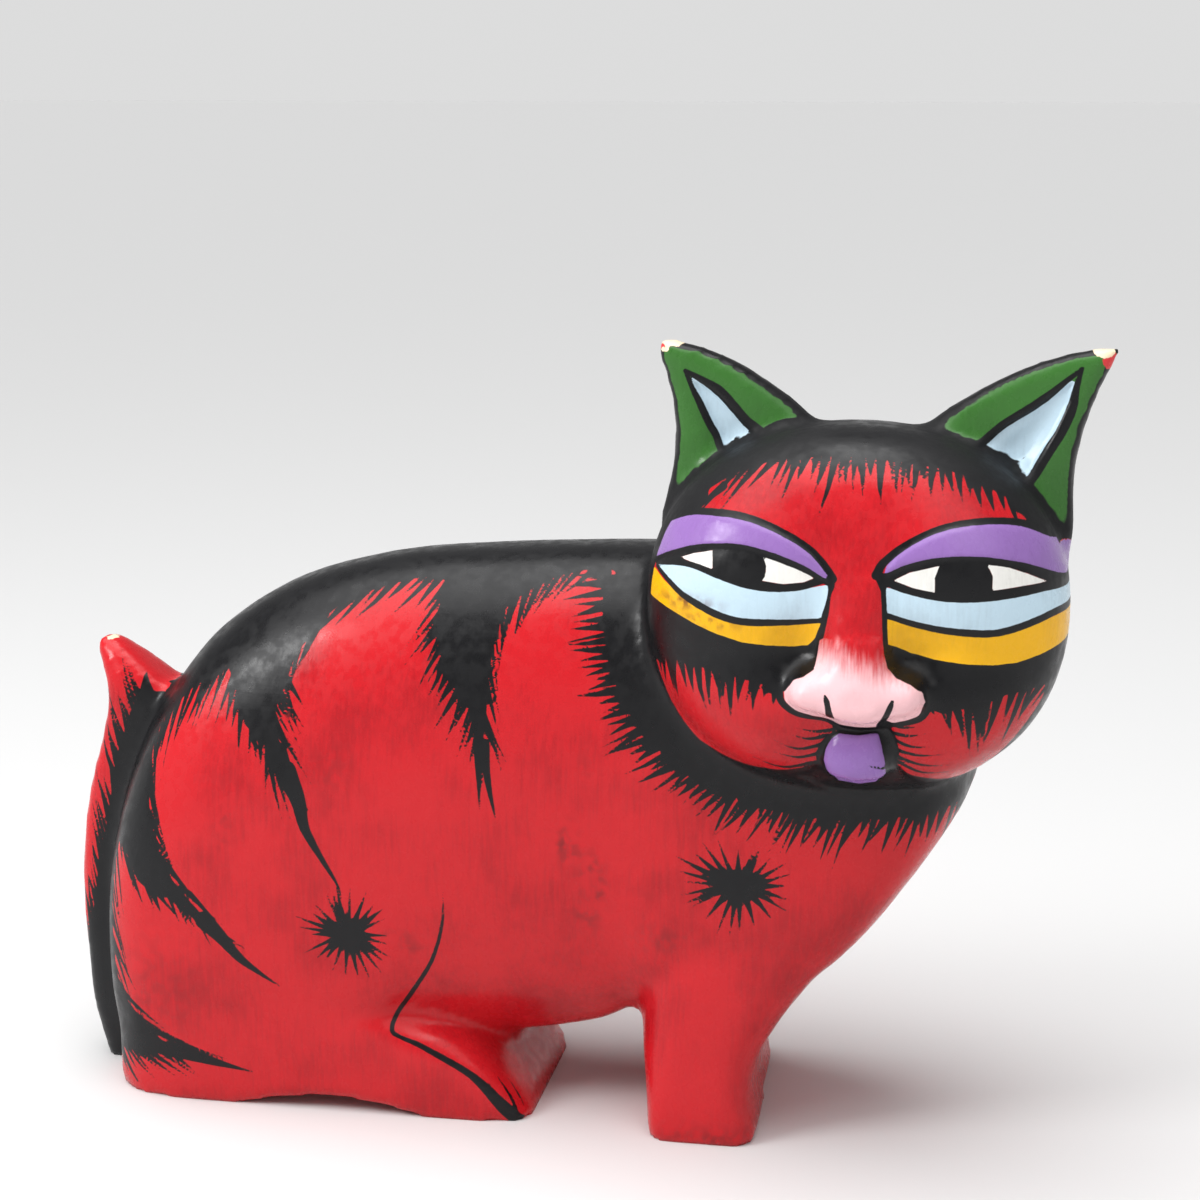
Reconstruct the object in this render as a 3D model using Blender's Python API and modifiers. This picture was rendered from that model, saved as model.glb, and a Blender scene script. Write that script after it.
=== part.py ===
# Papier-mache cat, moulded and painted as one piece.
# The cat stands along X with its head at +X, turned to look out along -Y. Sizes are in metres.
# The origin is on the ground, in the middle of the cat's outer box.

import math

import bmesh
import bpy
from mathutils import Matrix, Vector

# Body: rump to chest, ground to back, flank to flank
body_length = 0.3245
body_height = 0.210
body_depth = 0.100
rump_x = -0.187

# Thighs: one round block across the body, its middle measured from the rump and the ground
thigh_reach = 0.057
thigh_rise = 0.060
thigh_depth = 0.0975
thigh_from_rump = 0.080
thigh_middle_z = 0.082

# Rump and hind feet, one block across the body, with the shallow arch under it
foot_length = 0.1670
foot_height = 0.0385
foot_depth = 0.0965
arch_length = 0.068
arch_height = 0.0050
arch_from_rump = 0.092
tuck_height = 0.055
tuck_share = 0.080

# Front legs, one block across the body
leg_back_x = 0.0212
leg_width = 0.0410
leg_height = 0.100
leg_depth = 0.099
leg_skew = 0.045

# Head: a thick rounded disc, and the soft swellings of its face
head_width = 0.1450
head_height = 0.1280
head_taper = 0.014
head_depth = 0.086
head_outline_power = 2.2
head_depth_power = 2.7
head_middle = Vector((0.0948, -0.030, 0.1962))
eye_swell = 0.0042
cheek_swell = 0.0062
nose_hollow = 0.0022

# Ears: height above their hidden roots, width there, thickness, and place behind the face
ear_height = 0.077
ear_width = 0.051
ear_thickness = 0.018
ear_front_gap = 0.052
ear_hollow = 0.0038
ear_above_crown = 0.0262
ear_lean_left = -0.0002
ear_lean_right = 0.0118
ear_waist_left = 0.0064
ear_waist_right = 0.0045
ear_wider_right = 1.08
ear_root_share = 0.970
ear_pair_shift = 0.0009
ear_flare = 0.0034
ear_waist_end = 0.80
ear_corner_soft = 0.006

# Nose and tongue, a little to the right of the middle of the face
nose_offset = 0.0040
nose_width = 0.0455
nose_height = 0.0600
nose_stand = 0.0145
nose_root = 0.010
nose_bottom_z = 0.1665
tongue_width = 0.0235
tongue_height = 0.0185
tongue_stand = 0.0095
tongue_sink = 0.001
tongue_middle_z = 0.1535

# Tail: a flat horn up the middle of the rump
tail_height = 0.1680
tail_thickness = 0.027
tail_stand = 0.0168

# The paper skin's fineness: voxel of the fused form, softening of its joins, share of faces kept
skin_voxel = 0.0022
soften_steps = 3
face_share = 0.072
below_ground = 0.016

paint_red = (0.62, 0.025, 0.035, 1.0)
paint_roughness = 0.38


def collection(name):
    made = bpy.data.collections.new(name)
    bpy.context.scene.collection.children.link(made)
    return made


def mesh_object(name, mesh, home):
    made = bpy.data.objects.new(name, mesh)
    home.objects.link(made)
    return made


def slope(table, i, column):
    """How steeply the table's column climbs at row i, for each unit of its first column."""
    before = table[max(i - 1, 0)]
    after = table[min(i + 1, len(table) - 1)]
    return (after[column] - before[column]) / (after[0] - before[0])


def refined(table, steps=4):
    """The table with more rows between its own, along smooth curves through them."""
    rows = []
    for i in range(len(table) - 1):
        low, high = table[i], table[i + 1]
        span = high[0] - low[0]
        for k in range(steps):
            t = k / steps
            row = [low[0] + t * span]
            for column in range(1, len(low)):
                row.append(
                    (2 * t**3 - 3 * t**2 + 1) * low[column]
                    + (t**3 - 2 * t**2 + t) * slope(table, i, column) * span
                    + (3 * t**2 - 2 * t**3) * high[column]
                    + (t**3 - t**2) * slope(table, i + 1, column) * span
                )
            rows.append(row)
    rows.append(list(table[-1]))
    return rows


def power_round(angle, power):
    """A point of the unit superellipse of that power."""
    c, s = math.cos(angle), math.sin(angle)
    return (
        math.copysign(abs(c) ** (2 / power), c),
        math.copysign(abs(s) ** (2 / power), s),
    )


def loft(name, rings, home):
    """A closed skin over rings of points, all with the same count."""
    bm = bmesh.new()
    loops = [[bm.verts.new(p) for p in ring] for ring in rings]
    count = len(loops[0])
    for low, high in zip(loops, loops[1:]):
        for i in range(count):
            j = (i + 1) % count
            bm.faces.new((low[i], low[j], high[j], high[i]))
    bm.faces.new(loops[0][::-1])
    bm.faces.new(loops[-1])
    bmesh.ops.recalc_face_normals(bm, faces=bm.faces)
    mesh = bpy.data.meshes.new(name)
    bm.to_mesh(mesh)
    bm.free()
    return mesh_object(name, mesh, home)


def upright_ring(x, bottom, top, half_depth, low_power, high_power, count=72):
    """A cross-section of the body at x: round above, squarer or rounder below."""
    middle = bottom + 0.47 * (top - bottom)
    ring = []
    for i in range(count):
        angle = 2 * math.pi * (i + 0.5) / count
        power = high_power if math.sin(angle) > 0 else low_power
        across, rise = power_round(angle, power)
        reach = (top - middle) if rise > 0 else (middle - bottom)
        ring.append(Vector((x, across * half_depth, middle + rise * reach)))
    return ring


def level_ring(z, x_low, x_high, half_depth, power, y_middle=0.0, skew=0.0, count=48):
    """A level cross-section of a leg, an ear or the tail."""
    middle, reach = (x_low + x_high) / 2, (x_high - x_low) / 2
    ring = []
    for i in range(count):
        along, across = power_round(2 * math.pi * (i + 0.5) / count, power)
        y = across * half_depth
        ring.append(Vector((middle + along * reach - skew * y, y_middle + y, z)))
    return ring


# Shares of body_length, then of body_height for the underside and the back,
# of half body_depth for the flank, and the roundness below and above.
body_stations = [
    (0.000, 0.260, 0.300, 0.30, 2.6, 2.4),
    (0.004, 0.130, 0.415, 0.50, 2.8, 2.4),
    (0.014, 0.055, 0.492, 0.68, 3.2, 2.4),
    (0.032, 0.012, 0.585, 0.80, 3.6, 2.4),
    (0.056, -0.015, 0.670, 0.89, 4.0, 2.4),
    (0.082, -0.020, 0.735, 0.94, 4.0, 2.4),
    (0.130, -0.020, 0.825, 0.98, 4.0, 2.4),
    (0.220, 0.000, 0.916, 1.00, 3.4, 2.4),
    (0.340, 0.060, 0.970, 1.00, 2.4, 2.4),
    (0.460, 0.098, 0.990, 0.99, 2.2, 2.4),
    (0.580, 0.140, 1.001, 0.96, 2.4, 2.4),
    (0.625, 0.180, 1.003, 0.96, 2.8, 2.4),
    (0.670, 0.220, 1.004, 0.98, 4.4, 2.4),
    (0.770, 0.245, 1.002, 0.99, 6.0, 2.4),
    (0.815, 0.262, 0.998, 0.99, 5.6, 2.4),
    (0.880, 0.348, 0.984, 0.96, 4.6, 2.4),
    (0.945, 0.481, 0.945, 0.85, 3.8, 2.4),
    (0.985, 0.578, 0.865, 0.60, 3.2, 2.4),
    (1.000, 0.636, 0.780, 0.30, 3.0, 2.4),
]


def make_body(home):
    """Rump, back, belly and chest as one loft from tail to chest."""
    rings = []
    for along, low, high, wide, low_power, high_power in refined(body_stations):
        rings.append(
            upright_ring(
                rump_x + along * body_length,
                low * body_height,
                high * body_height,
                wide * body_depth / 2,
                low_power,
                high_power,
            )
        )
    return loft("body", rings, home)


def block_ball(middle, radii, outline_power, depth_power):
    """A ball pressed towards a block: its outline across X and Z, its roundness along Y."""
    bm = bmesh.new()
    bmesh.ops.create_uvsphere(bm, u_segments=64, v_segments=40, radius=1.0)
    for v in bm.verts:
        a, b, c = v.co
        ring = (abs(a) ** outline_power + abs(c) ** outline_power) ** (1 / outline_power)
        size = (ring**depth_power + abs(b) ** depth_power) ** (-1 / depth_power)
        v.co = middle + size * Vector((a * radii[0], b * radii[1], c * radii[2]))
    return bm


def ball_object(name, home, middle, radii, outline_power=2.0, depth_power=2.0):
    """A block ball as an object."""
    bm = block_ball(middle, radii, outline_power, depth_power)
    mesh = bpy.data.meshes.new(name)
    bm.to_mesh(mesh)
    bm.free()
    return mesh_object(name, mesh, home)


def make_thighs(home):
    """Both thighs as one round block with flat sides."""
    middle = Vector((rump_x + thigh_from_rump, 0.0, thigh_middle_z))
    return ball_object("thighs", home, middle, (thigh_reach, thigh_depth / 2, thigh_rise), 2.0, 6.0)


# Shares of foot_length from the rump, of foot_height for the top, of half foot_depth.
foot_stations = [
    (0.030, 0.60, 0.66),
    (0.055, 1.20, 0.80),
    (0.110, 1.60, 0.93),
    (0.220, 1.80, 1.00),
    (0.400, 1.80, 1.00),
    (0.560, 1.50, 1.00),
    (0.660, 1.20, 1.00),
    (0.725, 1.02, 1.00),
    (0.785, 0.94, 1.00),
    (0.850, 0.81, 0.99),
    (0.910, 0.58, 0.97),
    (0.960, 0.32, 0.94),
    (0.988, 0.14, 0.90),
    (1.000, 0.01, 0.86),
]


def make_feet(home):
    """The block of rump and hind feet, falling along the ridge of the feet to the toes."""
    rings = []
    for along, high, wide in refined(foot_stations):
        rings.append(
            upright_ring(
                rump_x + along * foot_length,
                -below_ground,
                high * foot_height,
                wide * foot_depth / 2,
                6.0,
                4.2,
            )
        )
    return loft("feet", rings, home)


# Shares of leg_height, then of leg_width for the back edge and the chest edge,
# of half leg_depth, and the squareness of the section.
leg_stations = [
    (-0.10, 0.050, 0.950, 0.97, 7.0),
    (0.00, 0.010, 1.000, 1.00, 7.0),
    (0.05, 0.000, 0.985, 1.00, 7.0),
    (0.13, -0.015, 0.940, 1.00, 6.0),
    (0.21, -0.040, 0.955, 0.99, 5.0),
    (0.30, -0.070, 1.020, 0.98, 4.2),
    (0.43, -0.095, 1.215, 0.98, 3.6),
    (0.55, -0.110, 1.440, 0.98, 3.4),
    (0.70, -0.080, 1.730, 0.97, 3.2),
    (1.00, 0.150, 2.100, 0.92, 3.2),
]


def make_front_legs(home):
    """Both front legs as one block, widening up into the chest."""
    rings = []
    for rise, back, front, wide, power in refined(leg_stations):
        rings.append(
            level_ring(
                rise * leg_height,
                leg_back_x + back * leg_width,
                leg_back_x + front * leg_width,
                wide * leg_depth / 2,
                power,
                skew=leg_skew,
            )
        )
    return loft("front_legs", rings, home)


def make_head(home):
    """The thick disc of the head, squared a little in outline and flattened in front."""
    radii = (head_width / 2, head_depth / 2, head_height / 2)
    made = ball_object("head", home, head_middle, radii, head_outline_power, head_depth_power)
    for v in made.data.vertices:
        rise = (v.co.z - head_middle.z) / radii[2]
        v.co.x = head_middle.x + (v.co.x - head_middle.x) * (1 + head_taper * rise)
    return made


def face_point(x, z, stand):
    """The place on the face at that X and Z, and metres out of its front."""
    across = (x - head_middle.x) / (head_width / 2)
    rise = (z - head_middle.z) / (head_height / 2)
    ring = (abs(across) ** head_outline_power + abs(rise) ** head_outline_power) ** (1 / head_outline_power)
    dome = max(0.0, 1 - ring**head_depth_power) ** (1 / head_depth_power)
    return Vector((x, head_middle.y - dome * head_depth / 2 - stand, z))


# Shares of nose_height down from the brow, of half nose_width, and of nose_stand
nose_stations = [
    (0.00, 0.28, 0.02),
    (0.12, 0.37, 0.10),
    (0.30, 0.41, 0.26),
    (0.50, 0.45, 0.46),
    (0.65, 0.51, 0.66),
    (0.76, 0.58, 0.84),
    (0.86, 0.58, 0.96),
    (0.93, 0.52, 0.92),
    (0.98, 0.36, 0.66),
    (1.00, 0.20, 0.40),
]


def make_nose(home):
    """The bridge from between the eyes down to the ball of the nose, and its two wings."""
    nose_x = head_middle.x + nose_offset
    rings = []
    for fall, wide, out in refined(nose_stations):
        z = nose_bottom_z + nose_height * (1 - fall)
        middle = face_point(nose_x, z, 0.0)
        ring = []
        for i in range(32):
            along, depth = power_round(2 * math.pi * (i + 0.5) / 32, 2.5)
            reach = out * nose_stand if depth < 0 else nose_root
            ring.append(middle + Vector((along * wide * nose_width / 2, depth * reach, 0.0)))
        rings.append(ring)
    made = [loft("nose", rings, home)]
    wing = nose_width * 0.215
    for side in (-1, 1):
        z = nose_bottom_z + nose_height * 0.185
        middle = face_point(nose_x + side * (nose_width / 2 - wing), z, 0.0)
        radii = (wing, nose_stand * 0.72, nose_height * 0.130)
        made.append(ball_object("nose_wing", home, middle, radii, 2.2, 2.2))
    return made


def make_tongue(home):
    """The tongue's tip, narrower above than below."""
    middle = face_point(head_middle.x + nose_offset, tongue_middle_z, -tongue_sink)
    radii = (tongue_width / 2, tongue_stand, tongue_height / 2)
    made = ball_object("tongue", home, middle, radii, 2.8, 2.4)
    for v in made.data.vertices:
        rise = (v.co.z - middle.z) / radii[2]
        v.co.x = middle.x + (v.co.x - middle.x) * (1 - 0.13 * rise)
    return made


def tuck_sides(mesh):
    """Draws the sides of the rump and the feet in a little towards the ground."""
    for v in mesh.vertices:
        if v.co.x < leg_back_x and v.co.z < tuck_height:
            fall = min(1.0, (tuck_height - v.co.z) / tuck_height)
            v.co.y *= 1 - tuck_share * fall**1.5


def swelling(x, z, middle_x, middle_z, reach_x, reach_z):
    """A soft oval swelling, 1 at its middle and 0 at its edge."""
    q = ((x - middle_x) / reach_x) ** 2 + ((z - middle_z) / reach_z) ** 2
    return max(0.0, 1 - q) ** 1.6


def swell_face(mesh):
    """Raises the eyes and the cheeks from the disc of the head, and sinks the sides of the nose."""
    half_width, half_height = head_width / 2, head_height / 2
    nose_x = head_middle.x + nose_offset
    for v in mesh.vertices:
        x, y, z = v.co
        front = min(1.0, max(0.0, (head_middle.y - 0.14 * head_depth - y) / (0.19 * head_depth)))
        if front == 0.0 or abs(x - head_middle.x) > half_width:
            continue
        out = 0.0
        for side in (-1, 1):
            eye_x = head_middle.x + side * half_width * 0.52
            out += eye_swell * swelling(
                x, z, eye_x, head_middle.z + half_height * 0.26, half_width * 0.50, half_height * 0.50
            )
            cheek_x = head_middle.x + side * half_width * 0.47 + nose_offset / 2
            out += cheek_swell * swelling(
                x, z, cheek_x, head_middle.z - half_height * 0.52, half_width * 0.46, half_height * 0.44
            )
            out -= nose_hollow * swelling(
                x,
                z,
                nose_x + side * nose_width * 0.46,
                head_middle.z - half_height * 0.10,
                half_width * 0.17,
                half_height * 0.24,
            )
        v.co.y -= out * front


# Share of ear_height down from the tip, then the share of ear_width across at that height,
# and of ear_thickness.
ear_stations = [
    (0.000, 0.06, 0.30),
    (0.012, 0.18, 0.42),
    (0.045, 0.34, 0.52),
    (0.105, 0.53, 0.62),
    (0.200, 0.72, 0.72),
    (0.290, 0.87, 0.82),
    (0.375, 0.98, 0.90),
    (0.500, 1.10, 1.00),
    (0.680, 1.14, 1.00),
    (0.860, 1.10, 1.00),
    (1.000, 1.00, 0.95),
]
ear_middle_y = head_middle.y - head_depth / 2 + ear_front_gap
ear_tip_z = head_middle.z + head_height / 2 + ear_above_crown


def ear_edge(side, fall):
    """X of the ear's outer edge, a share of ear_height below the tip."""
    lean = ear_lean_left if side < 0 else ear_lean_right
    waist = ear_waist_left if side < 0 else ear_waist_right
    root = ear_root_share * head_width / 2
    out = root + lean * (1 - fall) ** 1.6 + ear_flare * (1 - fall)
    out -= waist * math.sin(math.pi * min(1.0, fall / ear_waist_end))
    return head_middle.x + ear_pair_shift + side * out


def make_ear(side, home):
    """One ear as level sections from root to tip."""
    rings = []
    widen = 1.0 if side < 0 else ear_wider_right
    for fall, wide, thick in reversed(refined(ear_stations)):
        outer = ear_edge(side, fall)
        inner = outer - side * wide * ear_width * widen
        low, high = min(outer, inner), max(outer, inner)
        z = ear_tip_z - fall * ear_height
        rings.append(level_ring(z, low, high, thick * ear_thickness / 2, 3.6, ear_middle_y))
    return loft("ear", rings, home)


# Share of tail_height, then metres out from the rump's end for the outer edge,
# in for the inner edge, and the share of tail_thickness.
tail_stations = [
    (-0.030, 0.50, 0.030, 0.80),
    (0.030, 0.64, 0.030, 0.88),
    (0.135, 0.86, 0.030, 1.00),
    (0.255, 0.93, 0.030, 1.00),
    (0.380, 0.98, 0.030, 1.00),
    (0.500, 0.94, 0.030, 1.00),
    (0.615, 0.78, 0.030, 1.00),
    (0.700, 0.57, 0.030, 1.00),
    (0.760, 0.38, 0.034, 1.00),
    (0.855, 0.18, 0.030, 0.98),
    (0.900, 0.21, 0.021, 0.90),
    (0.940, 0.33, 0.012, 0.74),
    (0.970, 0.44, 0.0055, 0.56),
    (0.990, 0.51, 0.000, 0.40),
    (1.000, 0.51, -0.003, 0.24),
]


def make_tail(home):
    """The tail as level sections from the ground to its tip."""
    rings = []
    for rise, out, inward, thick in refined(tail_stations):
        rings.append(
            level_ring(
                rise * tail_height,
                rump_x - out * tail_stand,
                rump_x + inward,
                thick * tail_thickness / 2,
                4.5,
            )
        )
    return loft("tail", rings, home)


# Corners of the hollow in an ear: share of ear_height down from the tip, and of ear_width in
# from the outer edge.
ear_hollow_corners = [(0.130, 0.160), (0.435, 0.608), (0.650, 0.353)]


def hollow_ears(mesh):
    """Presses the three-cornered hollow into the front of each ear."""
    for side in (-1, 1):
        corners = [
            Vector((ear_edge(side, fall) - side * inward * ear_width, 0, ear_tip_z - fall * ear_height))
            for fall, inward in ear_hollow_corners
        ]
        centre = sum(corners, Vector()) / 3
        for v in mesh.vertices:
            if v.co.y > ear_middle_y - 0.002 or v.co.y < ear_middle_y - ear_thickness:
                continue
            inside = 1.0
            for a, b in zip(corners, corners[1:] + corners[:1]):
                edge = b - a
                normal = Vector((edge.z, 0, -edge.x)).normalized()
                if normal.dot(centre - a) < 0:
                    normal.negate()
                inside = min(inside, normal.dot(Vector((v.co.x, 0, v.co.z)) - a))
            share = max(0.0, min(1.0, inside / ear_corner_soft))
            v.co.y += ear_hollow * share * share * (3 - 2 * share)


def solid_mesh(made):
    """The object's mesh with its modifiers applied."""
    graph = bpy.context.evaluated_depsgraph_get()
    return bpy.data.meshes.new_from_object(made.evaluated_get(graph))


def fuse(pieces, home):
    """One closed skin over all the pieces, its joins softened as layered paper softens them."""
    bm = bmesh.new()
    for piece in pieces:
        bm.from_mesh(piece.data)
    mesh = bpy.data.meshes.new("skin")
    bm.to_mesh(mesh)
    bm.free()
    for piece in pieces:
        bpy.data.objects.remove(piece)
    skin = mesh_object("skin", mesh, home)
    remesh = skin.modifiers.new("one_skin", "REMESH")
    remesh.mode = "VOXEL"
    remesh.voxel_size = skin_voxel
    smooth = skin.modifiers.new("soften", "SMOOTH")
    smooth.factor = 0.5
    smooth.iterations = soften_steps
    fused = solid_mesh(skin)
    bpy.data.objects.remove(skin)
    return fused


def keep_as_cutter(made, home):
    """Moves an object among the cutters and hides it from the render."""
    for old in list(made.users_collection):
        old.objects.unlink(made)
    home.objects.link(made)
    made.hide_render = True
    made.display_type = "WIRE"
    return made


def make_ground_cutter(home):
    """A slab whose top is the ground, to cut the feet flat."""
    bpy.ops.mesh.primitive_cube_add(size=1.0)
    slab = bpy.context.object
    slab.name = "ground_cutter"
    slab.scale = (3 * body_length, 5 * body_depth, body_height)
    slab.location = (0.0, 0.0, -body_height / 2)
    bpy.ops.object.transform_apply(location=True, rotation=False, scale=True)
    return keep_as_cutter(slab, home)


def make_arch_cutter(home):
    """A wide cylinder lying across the body, to cut the shallow arch behind the feet."""
    radius = (arch_length**2 / 4 + arch_height**2) / (2 * arch_height)
    bpy.ops.mesh.primitive_cylinder_add(vertices=192, radius=radius, depth=5 * body_depth)
    roller = bpy.context.object
    roller.name = "arch_cutter"
    roller.rotation_euler = (math.pi / 2, 0.0, 0.0)
    roller.location = (rump_x + arch_from_rump, 0.0, arch_height - radius)
    bpy.ops.object.transform_apply(location=True, rotation=True, scale=True)
    return keep_as_cutter(roller, home)


def paint(made):
    """Red glossy paint over the paper."""
    material = bpy.data.materials.new("red_paint")
    material.use_nodes = True
    shader = material.node_tree.nodes["Principled BSDF"]
    shader.inputs["Base Color"].default_value = paint_red
    shader.inputs["Roughness"].default_value = paint_roughness
    shader.inputs["Metallic"].default_value = 0.0
    made.data.materials.append(material)


def main():
    for old in list(bpy.data.objects):
        bpy.data.objects.remove(old)
    home = collection("papier_mache_cat")
    cutters = collection("cutters")

    pieces = [make_body(home), make_thighs(home), make_feet(home), make_front_legs(home)]
    pieces += [make_head(home), make_tongue(home), make_tail(home)]
    pieces += make_nose(home)
    pieces += [make_ear(-1, home), make_ear(1, home)]
    skin = fuse(pieces, home)
    tuck_sides(skin)
    swell_face(skin)
    hollow_ears(skin)

    cat = mesh_object("papier_mache_cat", skin, home)
    thin = cat.modifiers.new("fewer_faces", "DECIMATE")
    thin.ratio = face_share
    for name, cutter in (("flat_feet", make_ground_cutter(cutters)), ("arch", make_arch_cutter(cutters))):
        cut = cat.modifiers.new(name, "BOOLEAN")
        cut.operation = "DIFFERENCE"
        cut.object = cutter
    paint(cat)

    # The finished solid goes over, so that the origin is under the middle of its box
    standing = solid_mesh(cat)
    places = [v.co for v in standing.vertices]
    shift = Vector(
        (
            -(min(p.x for p in places) + max(p.x for p in places)) / 2,
            -(min(p.y for p in places) + max(p.y for p in places)) / 2,
            0.0,
        )
    )
    cat.modifiers.clear()
    standing.transform(Matrix.Translation(shift))
    cat.data = standing
    cat.data.shade_smooth()


main()
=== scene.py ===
import math

import bpy
import numpy as np
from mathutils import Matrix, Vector, noise


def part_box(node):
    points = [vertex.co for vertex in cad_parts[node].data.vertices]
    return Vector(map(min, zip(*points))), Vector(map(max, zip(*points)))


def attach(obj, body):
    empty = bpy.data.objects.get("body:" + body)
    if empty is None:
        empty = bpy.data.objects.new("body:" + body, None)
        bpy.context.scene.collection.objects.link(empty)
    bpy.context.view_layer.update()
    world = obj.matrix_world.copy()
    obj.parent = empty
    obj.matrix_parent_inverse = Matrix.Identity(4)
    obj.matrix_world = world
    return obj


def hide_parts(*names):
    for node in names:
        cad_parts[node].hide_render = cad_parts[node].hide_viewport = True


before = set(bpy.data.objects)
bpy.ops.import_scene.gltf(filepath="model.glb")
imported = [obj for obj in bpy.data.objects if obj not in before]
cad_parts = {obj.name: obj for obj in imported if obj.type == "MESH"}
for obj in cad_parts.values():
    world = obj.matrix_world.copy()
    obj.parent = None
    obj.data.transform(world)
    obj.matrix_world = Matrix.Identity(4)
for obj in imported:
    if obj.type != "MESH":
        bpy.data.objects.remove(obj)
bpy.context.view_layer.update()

catNode = "papier_mache_cat"

# All sizes below are in millimetres, seen from the front: X to the right, Z up.
skin = {
    "voxel": 2.3,  # first even mesh
    "thinning": 0.38,  # share of its triangles kept
    "flatBand": 0.03,  # lower than this is flat on the ground
    "smoothRounds": 26,
    "groundBand": 0.4,  # points this low stay on the ground
    "unevenness": 0.14,  # hand-laid paper, in and out
    "slowWave": 0.045, "quickWave": 0.11,  # of it, turns in a millimetre
    "faceEdge": 2.0,  # longest edge over the face
    "inkEdge": 0.96,  # longest edge along a painted border
    "farEdge": 1.6,  # the same on the far side
    "rounds": 8,  # of refining, at most
    "fewEdges": 50,  # with fewer left to split it stops
}
head = {
    "x": 106.25, "z": 196.2, "halfWidth": 72.5, "halfHeight": 64.0, "power": 2.2, "rimY": -27.0,
    "rimAcross": (-72, -55, -20, 35, 52), "rimShare": (0.952, 0.970, 0.985, 0.985, 1.09), "backZ": 200.0,
    "rightX": 150.0, "rightY": 6.0, "maneX": 112.0, "maneZ": 150.0,
    "sideShare": 1.06, "earShare": 0.985,
}
ears = {"frontY": -4.0, "footY": -13.2, "lowZ": 222.0, "frontNormal": 0.76, "normalReach": 4.0}
farSide = {"middleY": 17.8, "collarLift": 38.0, "liftDepth": 50.0, "flank": 37.0}
toes = {"leftX": -40.0, "rightX": 22.0, "topZ": 22.0, "facing": 0.35}
tailPlace = {"endX": -153.0, "halfDepth": 15.5}
noseFade = {"redZ": 195.5, "reach": 13.0, "lean": 0.30, "halfWidth": 12.0}

# Where the paint has come off, and a painted highlight in bare cream on the tail's tip: tip, what shows,
# shift from the tip and reach, each as X, Y, Z
chips = [
    ("leftEar", "bareCreamAndHighlight", (2.0, 0.0, -0.3), (4.2, 6.0, 1.9)),
    ("leftEar", "bareCreamAndHighlight", (0.0, 0.0, -2.8), (1.6, 5.0, 1.2)),
    ("leftEar", "bareRed", (-0.3, 0.0, -1.4), (2.1, 5.0, 1.9)),
    ("rightEar", "bareCreamAndHighlight", (-1.4, 0.0, -0.6), (3.6, 7.0, 2.4)),
    ("rightEar", "bareRed", (1.0, 0.0, -3.8), (3.2, 6.0, 3.0)),
    # on the tail's tip: a painted highlight in bare cream
    ("tail", "bareCreamAndHighlight", (0.6, 0.0, -0.4), (1.7, 5.0, 1.0)),
]

# Modelled relief: outlines, where, height towards the viewer, and softness of the edge
relief = [
    (("leftLid", "rightLid"), "face", 0.9, 2.4), (("nose",), "face", 0.9, 2.2),
    (("tongue",), "face", 1.4, 1.8),
    (("mouth",), "face", -1.6, 3.0), (("leftEarPatch", "rightEarPatch"), "ear", -1.5, 2.2),
]

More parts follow.
